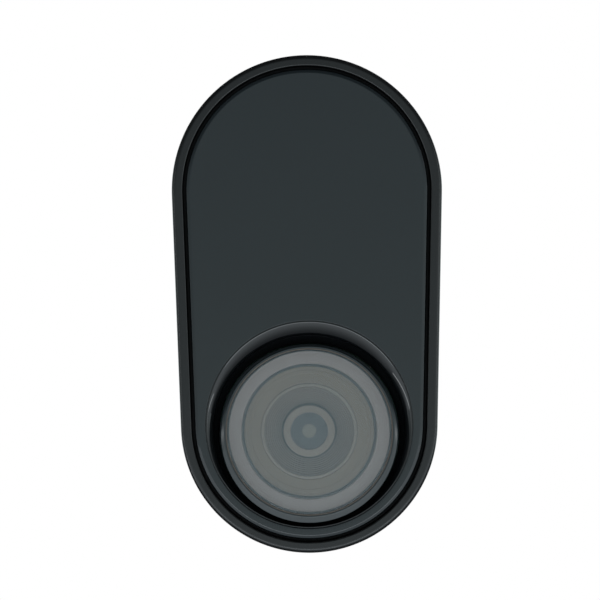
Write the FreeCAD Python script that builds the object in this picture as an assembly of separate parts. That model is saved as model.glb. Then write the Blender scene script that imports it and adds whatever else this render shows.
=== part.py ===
"""Video doorbell: a wall-mounted door station with a camera behind a round push button.

Frame: millimetres, +Z up, +X to the right as a visitor sees it. The wall is the plane
Y = 0 and the front faces -Y. "Depth" below always means the distance out from the wall,
so a point at depth d has Y = -d.
"""
import FreeCAD
import Part

import math
import os

V = FreeCAD.Vector
OUTWARD = V(0, -1, 0)
SIDES = (-1, 1)

# ---- outline: two arcs joined by their tangents ------------------------------------------
TOP_ARC_R = 30.0
BOTTOM_ARC_R = 28.5
ARC_SPACING = 52.0
HEIGHT = TOP_ARC_R + ARC_SPACING + BOTTOM_ARC_R
TOP_ARC_Z = HEIGHT / 2 - TOP_ARC_R
BOTTOM_ARC_Z = TOP_ARC_Z - ARC_SPACING

# ---- housing -------------------------------------------------------------------------------
BODY_DEPTH = 27.0           # wall to the rim's front
WALL = 2.4                  # housing side wall, seen from the front as the rim
RIM_ROUND = 1.1
REAR_ROUND = 0.8
RIM_INNER_ROUND = 0.25
SKIRT_GAP = 0.8             # wall to the skirt's rear edge, filled by the wall gasket
BACK_FLOOR = 5.2            # depth of the back wall's outer face
BACK_WALL = 1.8
CAVITY_FLOOR = BACK_FLOOR + BACK_WALL

# ---- front plate and its carrier -------------------------------------------------------------
PLATE_RECESS = 0.2          # plate face below the rim
PLATE_GROOVE = 0.85         # open groove between rim and plate
PLATE_STRIP = 2.2           # plate left between its edge and the dish, at the bottom
PLATE_THICK = 2.0
PLATE_BEVEL = 0.65
PLATE_HOLE_BEVEL = 0.15
BOND_THICK = 1.4
BOND_INSET = 0.35           # bond line starts this far inside the plate's edge
BOND_WIDTH = 2.0
CHASSIS_THICK = 1.6
SLIP = 0.15                 # clearance of a part that drops into its seat
GASKET_DROP = 1.2           # groove gasket below the plate's face
GASKET_HEIGHT = 1.4
PLATE_TOP = BODY_DEPTH - PLATE_RECESS
PLATE_BACK = PLATE_TOP - PLATE_THICK
CHASSIS_TOP = PLATE_BACK - BOND_THICK
CHASSIS_BACK = CHASSIS_TOP - CHASSIS_THICK

# ---- finger dish: its floor lies lower than its mouth, and they nearly meet at the bottom ------
DISH_R = BOTTOM_ARC_R - WALL - PLATE_GROOVE - PLATE_STRIP
DISH_GAP = 0.12
DISH_LIP = 0.2
DISH_SHIFT = 1.45
DISH_DRAFT = 0.05           # how far the wall leans in at the bottom
DISH_DEPTH = 3.35
DISH_FLOOR_THICK = 0.8
DISH_FLANGE = 1.15          # flange hidden behind the plate
DISH_SEAT = 0.6             # width of the chassis ledge under the flange
DISH_STEPS = 7
DISH_LIP_R = DISH_R - DISH_GAP
DISH_MOUTH_R = DISH_LIP_R - DISH_LIP
DISH_FLOOR_R = DISH_MOUTH_R - DISH_SHIFT - DISH_DRAFT
DISH_FLANGE_R = DISH_R + DISH_FLANGE
DISH_TOP = PLATE_TOP - 0.05
DISH_FLOOR = DISH_TOP - DISH_DEPTH
DISH_SEAT_DEPTH = DISH_FLOOR - DISH_FLOOR_THICK

# ---- bell push: radii from the outside in, depths from the front back ------------------------
PUSH_TRAVEL = 0.8
PUSH_GAP = 0.25             # around the skirt, in the dish's guide
DISH_MOAT = 1.35            # dish floor seen around the skirt
SHOULDER_LEAN = 0.95
SHOULDER_LAND = 0.35
WINDOW_BOND = 0.25
LIGHT_RING_INSET = 0.45
LIGHT_RING_LEDGE = 0.7
SKIRT_DROP = 2.05           # skirt axis below the bottom arc's centre
WINDOW_DROP = 1.65          # window and camera axis below the bottom arc's centre
SKIRT_Z = BOTTOM_ARC_Z - SKIRT_DROP
LENS_Z = BOTTOM_ARC_Z - WINDOW_DROP
SKIRT_R = DISH_FLOOR_R - DISH_MOAT
SHOULDER_R = SKIRT_R - SHOULDER_LEAN
WINDOW_R = SHOULDER_R - SHOULDER_LAND - WINDOW_BOND
LIGHT_RING_R = WINDOW_R - LIGHT_RING_INSET
SKIRT_BORE = LIGHT_RING_R - LIGHT_RING_LEDGE
PUSH_RECESS = 0.5           # shoulder's top below the plate's face
SHOULDER_FALL = 0.4         # of the leaning shoulder, to the skirt's edge
SHOULDER_DEPTH = 1.9        # ring's top to the seat under the window
SKIRT_LENGTH = 7.9
WINDOW_RISE = 0.55
WINDOW_STEP_INSET = 1.4     # the window is thinner inside this border
WINDOW_STEP = 0.5
LIGHT_RING_THICK = 1.4
SHOULDER_TOP = PLATE_TOP - PUSH_RECESS
SHOULDER_EDGE = SHOULDER_TOP - SHOULDER_FALL
SHOULDER_BASE = SHOULDER_TOP - SHOULDER_DEPTH
SKIRT_END = SHOULDER_BASE - SKIRT_LENGTH
WINDOW_SEAT = SHOULDER_BASE
WINDOW_EDGE_TOP = SHOULDER_TOP + 0.05
WINDOW_CROWN = WINDOW_EDGE_TOP + WINDOW_RISE
GUIDE_WALL = 1.05
GUIDE_END = SKIRT_END + 0.5
FOOT_SIZE = (1.4, 4.0, 1.2)  # towards the axis, along the rim, length
FOOT_X = SKIRT_R - FOOT_SIZE[0] / 2 - 0.2
PLUNGER_R = 0.6
PLUNGER_BORE_GAP = 0.05
PLUNGER_LENGTH = 1.75
TOUCH = 0.03                # between a plunger and what presses it
SWITCH_SIZE = (2.6, 4.2, 1.5)
SWITCH_OUTSET = 0.2         # switch centre outside the foot's centre
SEAL_WALL = 0.5
SEAL_R = SKIRT_BORE + SEAL_WALL + 0.05

# ---- camera turret and what it carries --------------------------------------------------------
BOARD_THICK = 1.2
PUSH_ROOM = 3.9             # skirt's end to the front board
FRONT_BOARD_TOP = SKIRT_END - PUSH_ROOM
FRONT_BOARD_BACK = FRONT_BOARD_TOP - BOARD_THICK
FRONT_BOARD_INSET = 3.1
FRONT_BOARD_RISE = 16.75    # board's flat top above the bottom arc's centre
FRONT_BOARD_BORE = 9.0
HALO_BOARD_R = SKIRT_BORE - PUSH_GAP
HALO_BOARD_WIDTH = 2.05
HALO_BOARD_THICK = 0.8
HALO_DROP = 5.7
HALO_LED_COUNT = 12
HALO_LED = (1.6, 0.8, 0.6)
TURRET_R = HALO_BOARD_R - HALO_BOARD_WIDTH
TURRET_LIP = 0.35
TURRET_WALL = 1.55
TURRET_BORE = TURRET_R - TURRET_WALL
TURRET_LIP_BORE = TURRET_R - TURRET_LIP
TURRET_FLANGE_R = SEAL_R + 0.2
TURRET_FLANGE = 1.0
LIGHT_RING_BORE = TURRET_R + PUSH_GAP
TURRET_DROP = 1.3           # turret's top below the window's seat
TURRET_TOP = WINDOW_SEAT - TURRET_DROP
HALO_SHELF = TURRET_TOP - HALO_DROP
TRIM_R = 10.7
TRIM_WALL = 0.7
HOOD_R = TRIM_R - TRIM_WALL
HOOD_MOUTH_R = HOOD_R - 0.4
HOOD_THROAT_R = 6.2
IR_WINDOW_THICK = 1.0
IR_WINDOW_TOP = TURRET_TOP - 0.1
IR_WINDOW_BORE = TRIM_R + 0.05
IR_BOARD_THICK = 1.0
IR_BOARD_DROP = 4.6
IR_BOARD_BACK = IR_WINDOW_TOP - IR_BOARD_DROP
IR_BOARD_BORE = 7.2
IR_LED_COUNT = 8
IR_LED = (1.8, 1.8, 1.0)
IR_LED_RING = TURRET_BORE - 1.35
HOOD_TOP = IR_WINDOW_TOP - 0.6
HOOD_THROAT = HOOD_TOP - 2.4
BARREL_R = 5.75
BARREL_BORE = 4.2
BARREL_TOP = HOOD_TOP - 0.8
RETAINER_TOP = BARREL_TOP + 0.6
LENS_R = BARREL_BORE - 0.05
LENS_CROWN = RETAINER_TOP + 0.3
LENS_BACK = BARREL_TOP - 0.6
STOP_R = LENS_R - 0.05
STOP_HOLE = 1.6
STOP_THICK = 0.3
INNER_LENS_R = 3.4
CAMERA_BOARD_R = TURRET_BORE - 0.83
CAMERA_BOARD_THICK = 0.8
CAMERA_BOARD_TOP = FRONT_BOARD_TOP + TURRET_FLANGE + CAMERA_BOARD_THICK
SENSOR = (6.4, 5.4, 0.9)
FILTER = (7.2, 0.3)
FILTER_LEDGE = 0.4
FILTER_BACK = CAMERA_BOARD_TOP + SENSOR[2] + 0.3 + FILTER_LEDGE
BARREL_BACK = FILTER_BACK + FILTER[1] + 0.1
HOLDER = 14.0
HOLDER_TOP = BARREL_BACK + 1.8

# ---- main board, battery and speaker ------------------------------------------------------------
MAIN_BOARD_BACK = CAVITY_FLOOR + 2.0
MAIN_BOARD_TOP = MAIN_BOARD_BACK + BOARD_THICK
MAIN_BOARD_INSET = 4.0
MAIN_BOARD_DROP = 6.75      # the board ends this far above the bottom arc's centre
MAIN_BOARD_END_Z = BOTTOM_ARC_Z + MAIN_BOARD_DROP
BOARD_CLEAR = 0.4
SHIELD_HEIGHT = 1.7
SHIELD_WALL = 0.2
SHIELD_RISE = 1.5           # shield's upper edge above the top arc's centre
BATTERY_SIDE_ROOM = 7.9     # battery's side to the housing's wall
BATTERY_LOW = 26.75         # battery's lower edge above the bottom arc's centre
BATTERY_HIGH = 12.75        # battery's upper edge above the top arc's centre
BATTERY_PAD = 1.2
BATTERY_PAD_INSET = 4.5
BATTERY_BACK = MAIN_BOARD_TOP + SHIELD_HEIGHT + 0.1
SPEAKER_BOX = (25.0, 22.0, 4.0)
SPEAKER_RISE = 2.75         # speaker box's top above the bottom arc's centre
SPEAKER_R = 8.5
DUCT = (11.2, 3.2)
DUCT_WALL = 0.7
SLOT_COUNT = 5
SLOT_PITCH = 2.0
SLOT = (1.1, 2.0)
MIC_X = 9.0
MIC_R = 1.9
MIC_HOLE_R = 0.6
SOUND_DEPTH = CAVITY_FLOOR + 2.2
SPEAKER_TOP_Z = BOTTOM_ARC_Z + SPEAKER_RISE

# ---- fixings --------------------------------------------------------------------------------------
BOSS_R = 2.6
PILOT_R = 0.85
SCREW_R = 0.8
SCREW_HEAD_R = 1.7
SCREW_HEAD = 1.1
SCREW_GRIP = 4.0
CHASSIS_SCREW_INSET = WALL + 2.8  # from the outline to the screw's axis
CHASSIS_SCREW_ANGLE = 46.0  # of the upper pair, about the top arc's centre
CHASSIS_SCREW_RISE = 20.75  # of the lower pair, above the bottom arc's centre
BOARD_POST_R = 2.2
BOARD_POST_INSET = 8.2
BOARD_POST_DROP = 3.25      # of the upper pair, below the top arc's centre
BOARD_POST_RISE = 9.75      # of the lower pair, above the bottom arc's centre
FRONT_POST_REACH = (SKIRT_R + 1.6) * math.sqrt(0.5)

# ---- side key --------------------------------------------------------------------------------------
KEY_DROP = 19.55            # below the top arc's centre
KEY_Z = TOP_ARC_Z - KEY_DROP
KEY_LENGTH = 9.5
KEY_WIDTH = 3.2
KEY_RISE = 8.6              # above the cavity's floor
KEY_DEPTH = CAVITY_FLOOR + KEY_RISE
KEY_PROUD = 0.2
KEY_GAP = 0.15
KEY_FLANGE = 1.0
KEY_FLANGE_STEP = 0.8
KEY_TRAVEL = 0.4
SIDE_PLUNGER_R = 0.8
SIDE_PLUNGER_LENGTH = 1.6
SIDE_SWITCH = (3.0, 5.0, 4.0)   # along X, along Z, in depth
SIDE_BOARD = (1.2, 12.0, 8.0)
SIDE_SWITCH_GAP = 0.3       # left under the pressed key

# ---- wall bracket ----------------------------------------------------------------------------------
BRACKET_GAP = 0.6           # between the bracket's edge and the housing's skirt
BRACKET_RIM = 1.6
BRACKET_HEIGHT = 3.6
BRACKET_PLATE = 2.0
WALL_HOLE_R = 2.3
WALL_HOLE_SPACING = 64.0
WALL_BOSS_R = 5.5
COUNTERSINK_R = 4.4
CABLE_WINDOW = (25.0, 20.0)
CABLE_WINDOW_Z = 15.0
HOOK_X = 10.0
HOOK_WIDTH = 4.0
HOOK_RISE = 11.75           # above the top arc's centre
HOOK_Z = TOP_ARC_Z + HOOK_RISE
HOOK_THICK = 1.6
HOOK_LIP = 1.6
HOOK_LIP_BACK = 0.5
HOOK_LIP_THICK = 0.9
HOOK_WINDOW = 4.0
HOOK_GAP = 0.1
LOCK_BLOCK = (9.0, 6.6)
LOCK_DEPTH = 3.2
LOCK_SHANK_R = 1.1
LOCK_HOLE_GAP = 0.3         # around the shank in the skirt
LOCK_HEAD_R = 2.1
LOCK_HEAD = 1.3
LOCK_SOCKET_R = 0.9
LOCK_LENGTH = 7.0
TERMINAL_X = 6.0
TERMINAL_R = 1.4
TERMINAL_HEAD_R = 2.7
TERMINAL_HEAD = 1.2
TERMINAL_WASHER = (3.2, 0.5)
TERMINAL_NUT = (5.0, 1.7)


# ---- shape helpers -------------------------------------------------------------------------------
def disc(radius, back, front, z=0.0, x=0.0):
    """Cylinder on the depth axis."""
    return Part.makeCylinder(radius, front - back, V(x, -back, z), OUTWARD)


def tube(outer, inner, back, front, z=0.0, x=0.0):
    """Ring on the depth axis."""
    return disc(outer, back, front, z, x).cut(disc(inner, back - 1, front + 1, z, x))


def slab(width, tall, back, front, x=0.0, z=0.0):
    """Box centred on x and z."""
    return Part.makeBox(width, front - back, tall, V(x - width / 2, -front, z - tall / 2))


def end_arcs():
    """Centre height, radius, start angle and span of the top and bottom arcs."""
    lean = math.asin((TOP_ARC_R - BOTTOM_ARC_R) / ARC_SPACING)
    return ((TOP_ARC_Z, TOP_ARC_R, -lean, math.pi + 2 * lean),
            (BOTTOM_ARC_Z, BOTTOM_ARC_R, math.pi + lean, math.pi - 2 * lean))


def radial(angle):
    return V(math.cos(angle), 0, math.sin(angle))


def outline(inset, depth):
    """Closed outline wire, moved in from the outer outline by inset."""
    arcs = []
    for z, radius, start, span in end_arcs():
        middle = V(0, -depth, z)
        first, mid, last = (middle + radial(start + span * part) * (radius - inset)
                            for part in (0, 0.5, 1))
        arcs.append(Part.Arc(first, mid, last).toShape())
    top, low = arcs
    lines = [Part.makeLine(a.lastVertex().Point, b.firstVertex().Point)
             for a, b in ((top, low), (low, top))]
    return Part.Wire([top, lines[0], low, lines[1]])


def section(corners, place):
    """Face of (inset, depth, round) corners; a round corner is a right angle."""
    count = len(corners)
    points = [place(inset, depth) for inset, depth, _ in corners]
    edges = []
    ends = []
    for i, (_, _, rounding) in enumerate(corners):
        corner = points[i]
        before = (points[i - 1] - corner).normalize() * rounding
        after = (points[(i + 1) % count] - corner).normalize() * rounding
        ends.append((corner + before, corner + after))
        if rounding:
            bulge = (before + after) * (1 - math.sqrt(0.5))
            edges.append(Part.Arc(corner + before, corner + bulge, corner + after).toShape())
    for i in range(count):
        edges.append(Part.makeLine(ends[i - 1][1], ends[i][0]))
    return Part.Face(Part.Wire(Part.__sortEdges__(edges)))


def swept(corners):
    """Ring round the outline whose section has these (inset, depth, round) corners."""
    (top_z, top_r, start, _), (low_z, low_r, _, _) = end_arcs()
    pieces = []
    for z, radius, first, span in end_arcs():
        face = section(corners, lambda inset, depth: V(0, -depth, z) + radial(first) * (radius - inset))
        pieces.append(face.revolve(V(0, 0, z), OUTWARD, math.degrees(span)))
    for angle in (start, math.pi - start):
        face = section(corners, lambda inset, depth: V(0, -depth, top_z) + radial(angle) * (top_r - inset))
        pieces.append(face.extrude(V(0, 0, low_z - top_z) + radial(angle) * (low_r - top_r)))
    return joined(pieces)


def plate(inset, back, front):
    """Solid of the outline between two depths."""
    return Part.Face(outline(inset, back)).extrude(OUTWARD * (front - back))


def band(outer_inset, inner_inset, back, front):
    """Wall that follows the outline."""
    return plate(outer_inset, back, front).cut(plate(inner_inset, back - 1, front + 1))


def circle(radius, depth, z):
    return Part.Wire([Part.Circle(V(0, -depth, z), OUTWARD, radius).toShape()])


def turned(profile, z):
    """Solid of revolution about the depth axis from (radius, depth) points."""
    points = [V(r, -d, z) for r, d in profile]
    face = Part.Face(Part.makePolygon(points + points[:1]))
    return face.revolve(V(0, 0, z), V(0, 1, 0), 360)


def joined(shapes):
    """Fuse pieces that make one solid."""
    whole, *others = shapes
    for shape in others:
        whole = whole.fuse(shape)
    return whole.removeSplitter()


def save(name, *solids):
    """Write one node, which may hold several separate solids."""
    shape = solids[0] if len(solids) == 1 else Part.makeCompound(list(solids))
    shape.exportStep(f"parts/{name}.step")


def half_width(z, inset):
    """Half the outline's width on its straight sides."""
    lean = -end_arcs()[0][2]
    return (TOP_ARC_R - inset) / math.cos(lean) - (TOP_ARC_Z - z) * math.tan(lean)


def screw(x, z, seat, tip, shank_r=SCREW_R, head_r=SCREW_HEAD_R, head=SCREW_HEAD):
    """Cross-head screw on the depth axis: its head lies past seat, away from tip."""
    way = 1 if seat > tip else -1
    top = seat + way * head
    body = disc(shank_r, min(tip, seat), max(tip, seat), z, x)
    body = body.fuse(disc(head_r, min(seat, top), max(seat, top), z, x))
    low, high = sorted((top - way * head / 2, top + way))
    for width, tall in ((head_r * 1.3, head_r * 0.28), (head_r * 0.28, head_r * 1.3)):
        body = body.cut(slab(width, tall, low, high, x, z))
    return body


def mirrored(places):
    """Left and right copies of (x, z) places."""
    return [(side * x, z) for x, z in places for side in SIDES]


def chassis_screw_places():
    turn = math.radians(CHASSIS_SCREW_ANGLE)
    reach = TOP_ARC_R - CHASSIS_SCREW_INSET
    low = BOTTOM_ARC_Z + CHASSIS_SCREW_RISE
    return mirrored([(reach * math.cos(turn), TOP_ARC_Z + reach * math.sin(turn)),
                     (half_width(low, CHASSIS_SCREW_INSET), low)])


def main_board_posts():
    high = TOP_ARC_Z - BOARD_POST_DROP
    low = BOTTOM_ARC_Z + BOARD_POST_RISE
    return mirrored([(half_width(high, BOARD_POST_INSET), high),
                     (half_width(low, BOARD_POST_INSET - 0.9), low)])


def front_board_posts():
    reach = FRONT_POST_REACH
    return [(x * reach, LENS_Z + z * reach) for x in SIDES for z in SIDES]


def around(count, radius):
    """Evenly spaced (x, z, angle) places on a ring about the lens axis."""
    for i in range(count):
        angle = math.tau * i / count
        yield radius * math.sin(angle), LENS_Z + radius * math.cos(angle), angle


# ---- housing and wall bracket ------------------------------------------------------------------
def slot_places():
    first = -(SLOT_COUNT - 1) / 2
    return [(first + i) * SLOT_PITCH for i in range(SLOT_COUNT)]


def sound_slot(x, low, tall):
    """Upright slot with round ends, cut along Z through the bottom of the skirt."""
    wide, deep = SLOT
    straight = deep - wide
    near = SOUND_DEPTH - straight / 2
    body = [Part.makeBox(wide, straight, tall, V(x - wide / 2, -near - straight, low))]
    for depth in (near, near + straight):
        body.append(Part.makeCylinder(wide / 2, tall, V(x, -depth, low)))
    return joined(body)


def key_box(grow, inner, outer, extra=0.0):
    """Side key's section grown by a clearance, between two insets of the outline."""
    reach = TOP_ARC_R + 5
    block = Part.makeBox(reach, KEY_WIDTH + 2 * grow + 2 * extra,
                         KEY_LENGTH + 2 * grow + 2 * extra,
                         V(0, -KEY_DEPTH - KEY_WIDTH / 2 - grow - extra,
                           KEY_Z - KEY_LENGTH / 2 - grow - extra))
    ring = band(outer, inner, CAVITY_FLOOR, CHASSIS_BACK)
    return block.common(ring)


def hooks():
    """Hooks on the housing's back that hang over the bracket's plate."""
    shapes = []
    for side in SIDES:
        x = side * HOOK_X
        shapes.append(slab(HOOK_WIDTH, HOOK_THICK, HOOK_LIP_BACK, BACK_FLOOR + 0.2,
                           x, HOOK_Z + HOOK_THICK / 2))
        shapes.append(slab(HOOK_WIDTH, HOOK_LIP + 0.2, HOOK_LIP_BACK,
                           HOOK_LIP_BACK + HOOK_LIP_THICK, x, HOOK_Z - HOOK_LIP / 2 + 0.1))
    return shapes


def housing():
    shell = swept([(0, SKIRT_GAP, REAR_ROUND), (0, BODY_DEPTH, RIM_ROUND),
                   (WALL, BODY_DEPTH, RIM_INNER_ROUND), (WALL, SKIRT_GAP, 0)])
    floor = plate(WALL / 2, BACK_FLOOR, CAVITY_FLOOR)
    posts = [disc(BOSS_R, CAVITY_FLOOR, CHASSIS_BACK, z, x) for x, z in chassis_screw_places()]
    posts += [disc(BOARD_POST_R, CAVITY_FLOOR, MAIN_BOARD_BACK, z, x)
              for x, z in main_board_posts()]
    posts += [disc(BOARD_POST_R, CAVITY_FLOOR, FRONT_BOARD_BACK, z, x)
              for x, z in front_board_posts()]
    room = plate(WALL - 0.2, CAVITY_FLOOR - 0.2, CHASSIS_BACK)
    shell = joined([shell, floor] + [p.common(room) for p in posts] + hooks())
    for x, z in chassis_screw_places():
        shell = shell.cut(disc(PILOT_R, CHASSIS_BACK - SCREW_GRIP - 1, CHASSIS_BACK + 1, z, x))
    for x, z in main_board_posts():
        shell = shell.cut(disc(PILOT_R, CAVITY_FLOOR, MAIN_BOARD_BACK + 1, z, x))
    for x, z in front_board_posts():
        shell = shell.cut(disc(PILOT_R, CAVITY_FLOOR, FRONT_BOARD_BACK + 1, z, x))
    for x in (-TERMINAL_X, TERMINAL_X):
        shell = shell.cut(disc(TERMINAL_R + 0.1, BACK_FLOOR - 1, CAVITY_FLOOR + 1,
                               CABLE_WINDOW_Z, x))
    shell = shell.cut(key_box(KEY_GAP, WALL + 1, -1))
    bottom = BOTTOM_ARC_Z - BOTTOM_ARC_R
    for x in slot_places():
        shell = shell.cut(sound_slot(x, bottom - WALL, 3 * WALL))
    shell = shell.cut(Part.makeCylinder(MIC_HOLE_R, 4 * WALL, V(MIC_X, -SOUND_DEPTH, bottom - WALL)))
    lock = Part.makeCylinder(LOCK_SHANK_R + LOCK_HOLE_GAP, 3 * WALL, V(0, -LOCK_DEPTH, bottom - WALL))
    sink = Part.makeCylinder(LOCK_HEAD_R + 0.15, WALL + LOCK_HEAD,
                             V(0, -LOCK_DEPTH, bottom - WALL))
    return shell.cut(lock).cut(sink)


def wall_bracket():
    edge = WALL + BRACKET_GAP
    plate_back = BRACKET_HEIGHT - BRACKET_PLATE
    body = [band(edge, edge + BRACKET_RIM, 0, BRACKET_HEIGHT),
            plate(edge + BRACKET_RIM / 2, plate_back, BRACKET_HEIGHT)]
    for way in SIDES:
        body.append(disc(WALL_BOSS_R, 0, BRACKET_HEIGHT, way * WALL_HOLE_SPACING / 2))
    block_front = BACK_FLOOR - 0.2
    inside = plate(edge, 0, block_front)
    low = BOTTOM_ARC_Z - BOTTOM_ARC_R + edge
    body.append(slab(LOCK_BLOCK[0], 2 * LOCK_BLOCK[1], 0, block_front, 0, low).common(inside))
    bracket = joined(body)
    for way in SIDES:
        z = way * WALL_HOLE_SPACING / 2
        bracket = bracket.cut(disc(WALL_HOLE_R, -1, BRACKET_HEIGHT + 1, z))
        sink = BRACKET_HEIGHT - (COUNTERSINK_R - WALL_HOLE_R)
        bracket = bracket.cut(turned([(0, sink), (WALL_HOLE_R, sink),
                                      (COUNTERSINK_R + 0.5, BRACKET_HEIGHT + 0.5),
                                      (0, BRACKET_HEIGHT + 0.5)], z))
        window = slab(HOOK_WIDTH + 0.8, HOOK_WINDOW, -1, BRACKET_HEIGHT + 1,
                      way * HOOK_X, HOOK_Z - HOOK_GAP + HOOK_WINDOW / 2)
        bracket = bracket.cut(window)
    bracket = bracket.cut(slab(*CABLE_WINDOW, -1, BRACKET_HEIGHT + 1, 0, CABLE_WINDOW_Z))
    thread = Part.makeCylinder(LOCK_SHANK_R + 0.02, LOCK_BLOCK[1] + 2, V(0, -LOCK_DEPTH, low - 1))
    return bracket.cut(thread)


def security_screw():
    """Screw that goes up through the skirt into the bracket."""
    seat = BOTTOM_ARC_Z - BOTTOM_ARC_R + LOCK_HEAD
    up = V(0, 0, 1)
    shank = Part.makeCylinder(LOCK_SHANK_R, LOCK_LENGTH, V(0, -LOCK_DEPTH, seat), up)
    head = Part.makeCylinder(LOCK_HEAD_R, LOCK_HEAD, V(0, -LOCK_DEPTH, seat - LOCK_HEAD), up)
    screw_body = shank.fuse(head)
    turns = [math.tau * i / 6 for i in range(6)]
    corners = [V(LOCK_SOCKET_R * math.cos(turn), -LOCK_DEPTH + LOCK_SOCKET_R * math.sin(turn),
                 seat - LOCK_HEAD - 0.5) for turn in turns]
    socket = Part.Face(Part.makePolygon(corners + corners[:1])).extrude(up * (0.5 + LOCK_HEAD * 0.6))
    skirt = plate(0.1, SKIRT_GAP, BACK_FLOOR + 1)
    return screw_body.cut(socket).common(skirt)


def terminals():
    """Screws, washers included, on the outside of the back wall and nuts inside it."""
    screws = []
    nuts = []
    seat = BACK_FLOOR - TERMINAL_WASHER[1]
    nut_front = CAVITY_FLOOR + TERMINAL_NUT[1]
    for side in SIDES:
        x = side * TERMINAL_X
        body = screw(x, CABLE_WINDOW_Z, seat, nut_front - 0.2,
                     TERMINAL_R, TERMINAL_HEAD_R, TERMINAL_HEAD)
        washer = disc(TERMINAL_WASHER[0], seat, BACK_FLOOR, CABLE_WINDOW_Z, x)
        screws.append(body.fuse(washer))
        nut = slab(TERMINAL_NUT[0], TERMINAL_NUT[0], CAVITY_FLOOR, nut_front, x, CABLE_WINDOW_Z)
        nuts.append(nut.cut(disc(TERMINAL_R, 0, BODY_DEPTH, CABLE_WINDOW_Z, x)))
    save("terminal_screws", *screws)
    save("terminal_nuts", *nuts)


# ---- front: chassis, plate, dish -----------------------------------------------------------------
def chassis():
    body = plate(WALL + SLIP, CHASSIS_BACK, CHASSIS_TOP)
    body = body.cut(disc(DISH_FLANGE_R + SLIP, DISH_SEAT_DEPTH, CHASSIS_TOP + 1, BOTTOM_ARC_Z))
    body = body.cut(disc(DISH_FLANGE_R - DISH_SEAT, CHASSIS_BACK - 1, CHASSIS_TOP, BOTTOM_ARC_Z))
    for x, z in chassis_screw_places():
        body = body.cut(disc(SCREW_R + 0.2, CHASSIS_BACK - 1, CHASSIS_TOP + 1, z, x))
    return body


def plate_bond():
    start = WALL + PLATE_GROOVE + BOND_INSET
    body = band(start, start + BOND_WIDTH, CHASSIS_TOP, PLATE_BACK)
    body = body.cut(disc(DISH_FLANGE_R + SLIP, 0, BODY_DEPTH, BOTTOM_ARC_Z))
    for x, z in chassis_screw_places():
        body = body.cut(disc(SCREW_HEAD_R + 0.3, 0, BODY_DEPTH, z, x))
    return body


def front_plate():
    edge = WALL + PLATE_GROOVE
    rim_width = 2 * PLATE_BEVEL
    rim = swept([(edge, PLATE_BACK, 0), (edge, PLATE_TOP - PLATE_BEVEL, 0),
                 (edge + PLATE_BEVEL, PLATE_TOP, 0), (edge + rim_width, PLATE_TOP, 0),
                 (edge + rim_width, PLATE_BACK, 0)])
    body = joined([rim, plate(edge + rim_width, PLATE_BACK, PLATE_TOP)])
    body = body.cut(disc(DISH_R, 0, BODY_DEPTH + 1, BOTTOM_ARC_Z))
    return body.cut(turned([(0, PLATE_TOP - PLATE_HOLE_BEVEL), (DISH_R, PLATE_TOP - PLATE_HOLE_BEVEL),
                            (DISH_R + 2 * PLATE_HOLE_BEVEL, PLATE_TOP + PLATE_HOLE_BEVEL),
                            (0, PLATE_TOP + PLATE_HOLE_BEVEL)], BOTTOM_ARC_Z))


def dish_bezel():
    """Glossy dish: its wall rolls over from the lip and its floor lies lower than its mouth."""
    body = disc(DISH_LIP_R, PLATE_BACK, DISH_TOP, BOTTOM_ARC_Z)
    body = body.fuse(disc(DISH_FLANGE_R, DISH_SEAT_DEPTH, PLATE_BACK, BOTTOM_ARC_Z))
    guide_r = SKIRT_R + PUSH_GAP
    body = body.fuse(disc(guide_r + GUIDE_WALL, GUIDE_END, DISH_SEAT_DEPTH, SKIRT_Z))
    rings = []
    for i in range(DISH_STEPS):
        turn = math.pi / 2 * i / (DISH_STEPS - 1)
        inward = math.sin(turn)
        down = 1 - math.cos(turn)
        rings.append(circle(DISH_MOUTH_R + (DISH_FLOOR_R - DISH_MOUTH_R) * inward,
                            DISH_TOP - DISH_DEPTH * down,
                            BOTTOM_ARC_Z - DISH_SHIFT * inward))
    body = body.cut(Part.makeLoft(rings, True, False))
    return body.cut(disc(guide_r, 0, BODY_DEPTH, SKIRT_Z))


# ---- bell push -----------------------------------------------------------------------------------
def push_ring():
    """Round key: a straight skirt with a shoulder that leans in to the window's edge."""
    body = disc(SKIRT_R, SKIRT_END, SHOULDER_EDGE, SKIRT_Z)
    shoulder = Part.makeLoft([circle(SKIRT_R, SHOULDER_EDGE, SKIRT_Z),
                              circle(SHOULDER_R, SHOULDER_TOP, LENS_Z)], True, True)
    parts = [body, shoulder]
    deep, along, length = FOOT_SIZE
    for side in SIDES:
        parts.append(slab(deep, along, SKIRT_END - length, SKIRT_END + 0.5,
                          side * FOOT_X, SKIRT_Z))
    body = joined(parts)
    light_seat = WINDOW_SEAT - LIGHT_RING_THICK
    for radius, start in ((WINDOW_R + WINDOW_BOND, WINDOW_SEAT),
                          (LIGHT_RING_R + 0.05, light_seat),
                          (SKIRT_BORE, 0)):
        body = body.cut(disc(radius, start, BODY_DEPTH + 1, LENS_Z))
    return body


def push_window():
    """Domed clear cap, thinner inside its stepped edge."""
    rise = WINDOW_CROWN - WINDOW_EDGE_TOP
    radius = (WINDOW_R ** 2 + rise ** 2) / (2 * rise)
    centre = V(0, -(WINDOW_CROWN - radius), LENS_Z)
    block = disc(WINDOW_R, WINDOW_SEAT, WINDOW_CROWN + 1, LENS_Z)
    cap = block.common(Part.makeSphere(radius, centre))
    hollow_r = radius - (WINDOW_EDGE_TOP - WINDOW_SEAT) + WINDOW_STEP
    hollow = disc(WINDOW_R - WINDOW_STEP_INSET, WINDOW_SEAT - 1, WINDOW_CROWN, LENS_Z)
    return cap.cut(hollow.common(Part.makeSphere(hollow_r, centre)))


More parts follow.
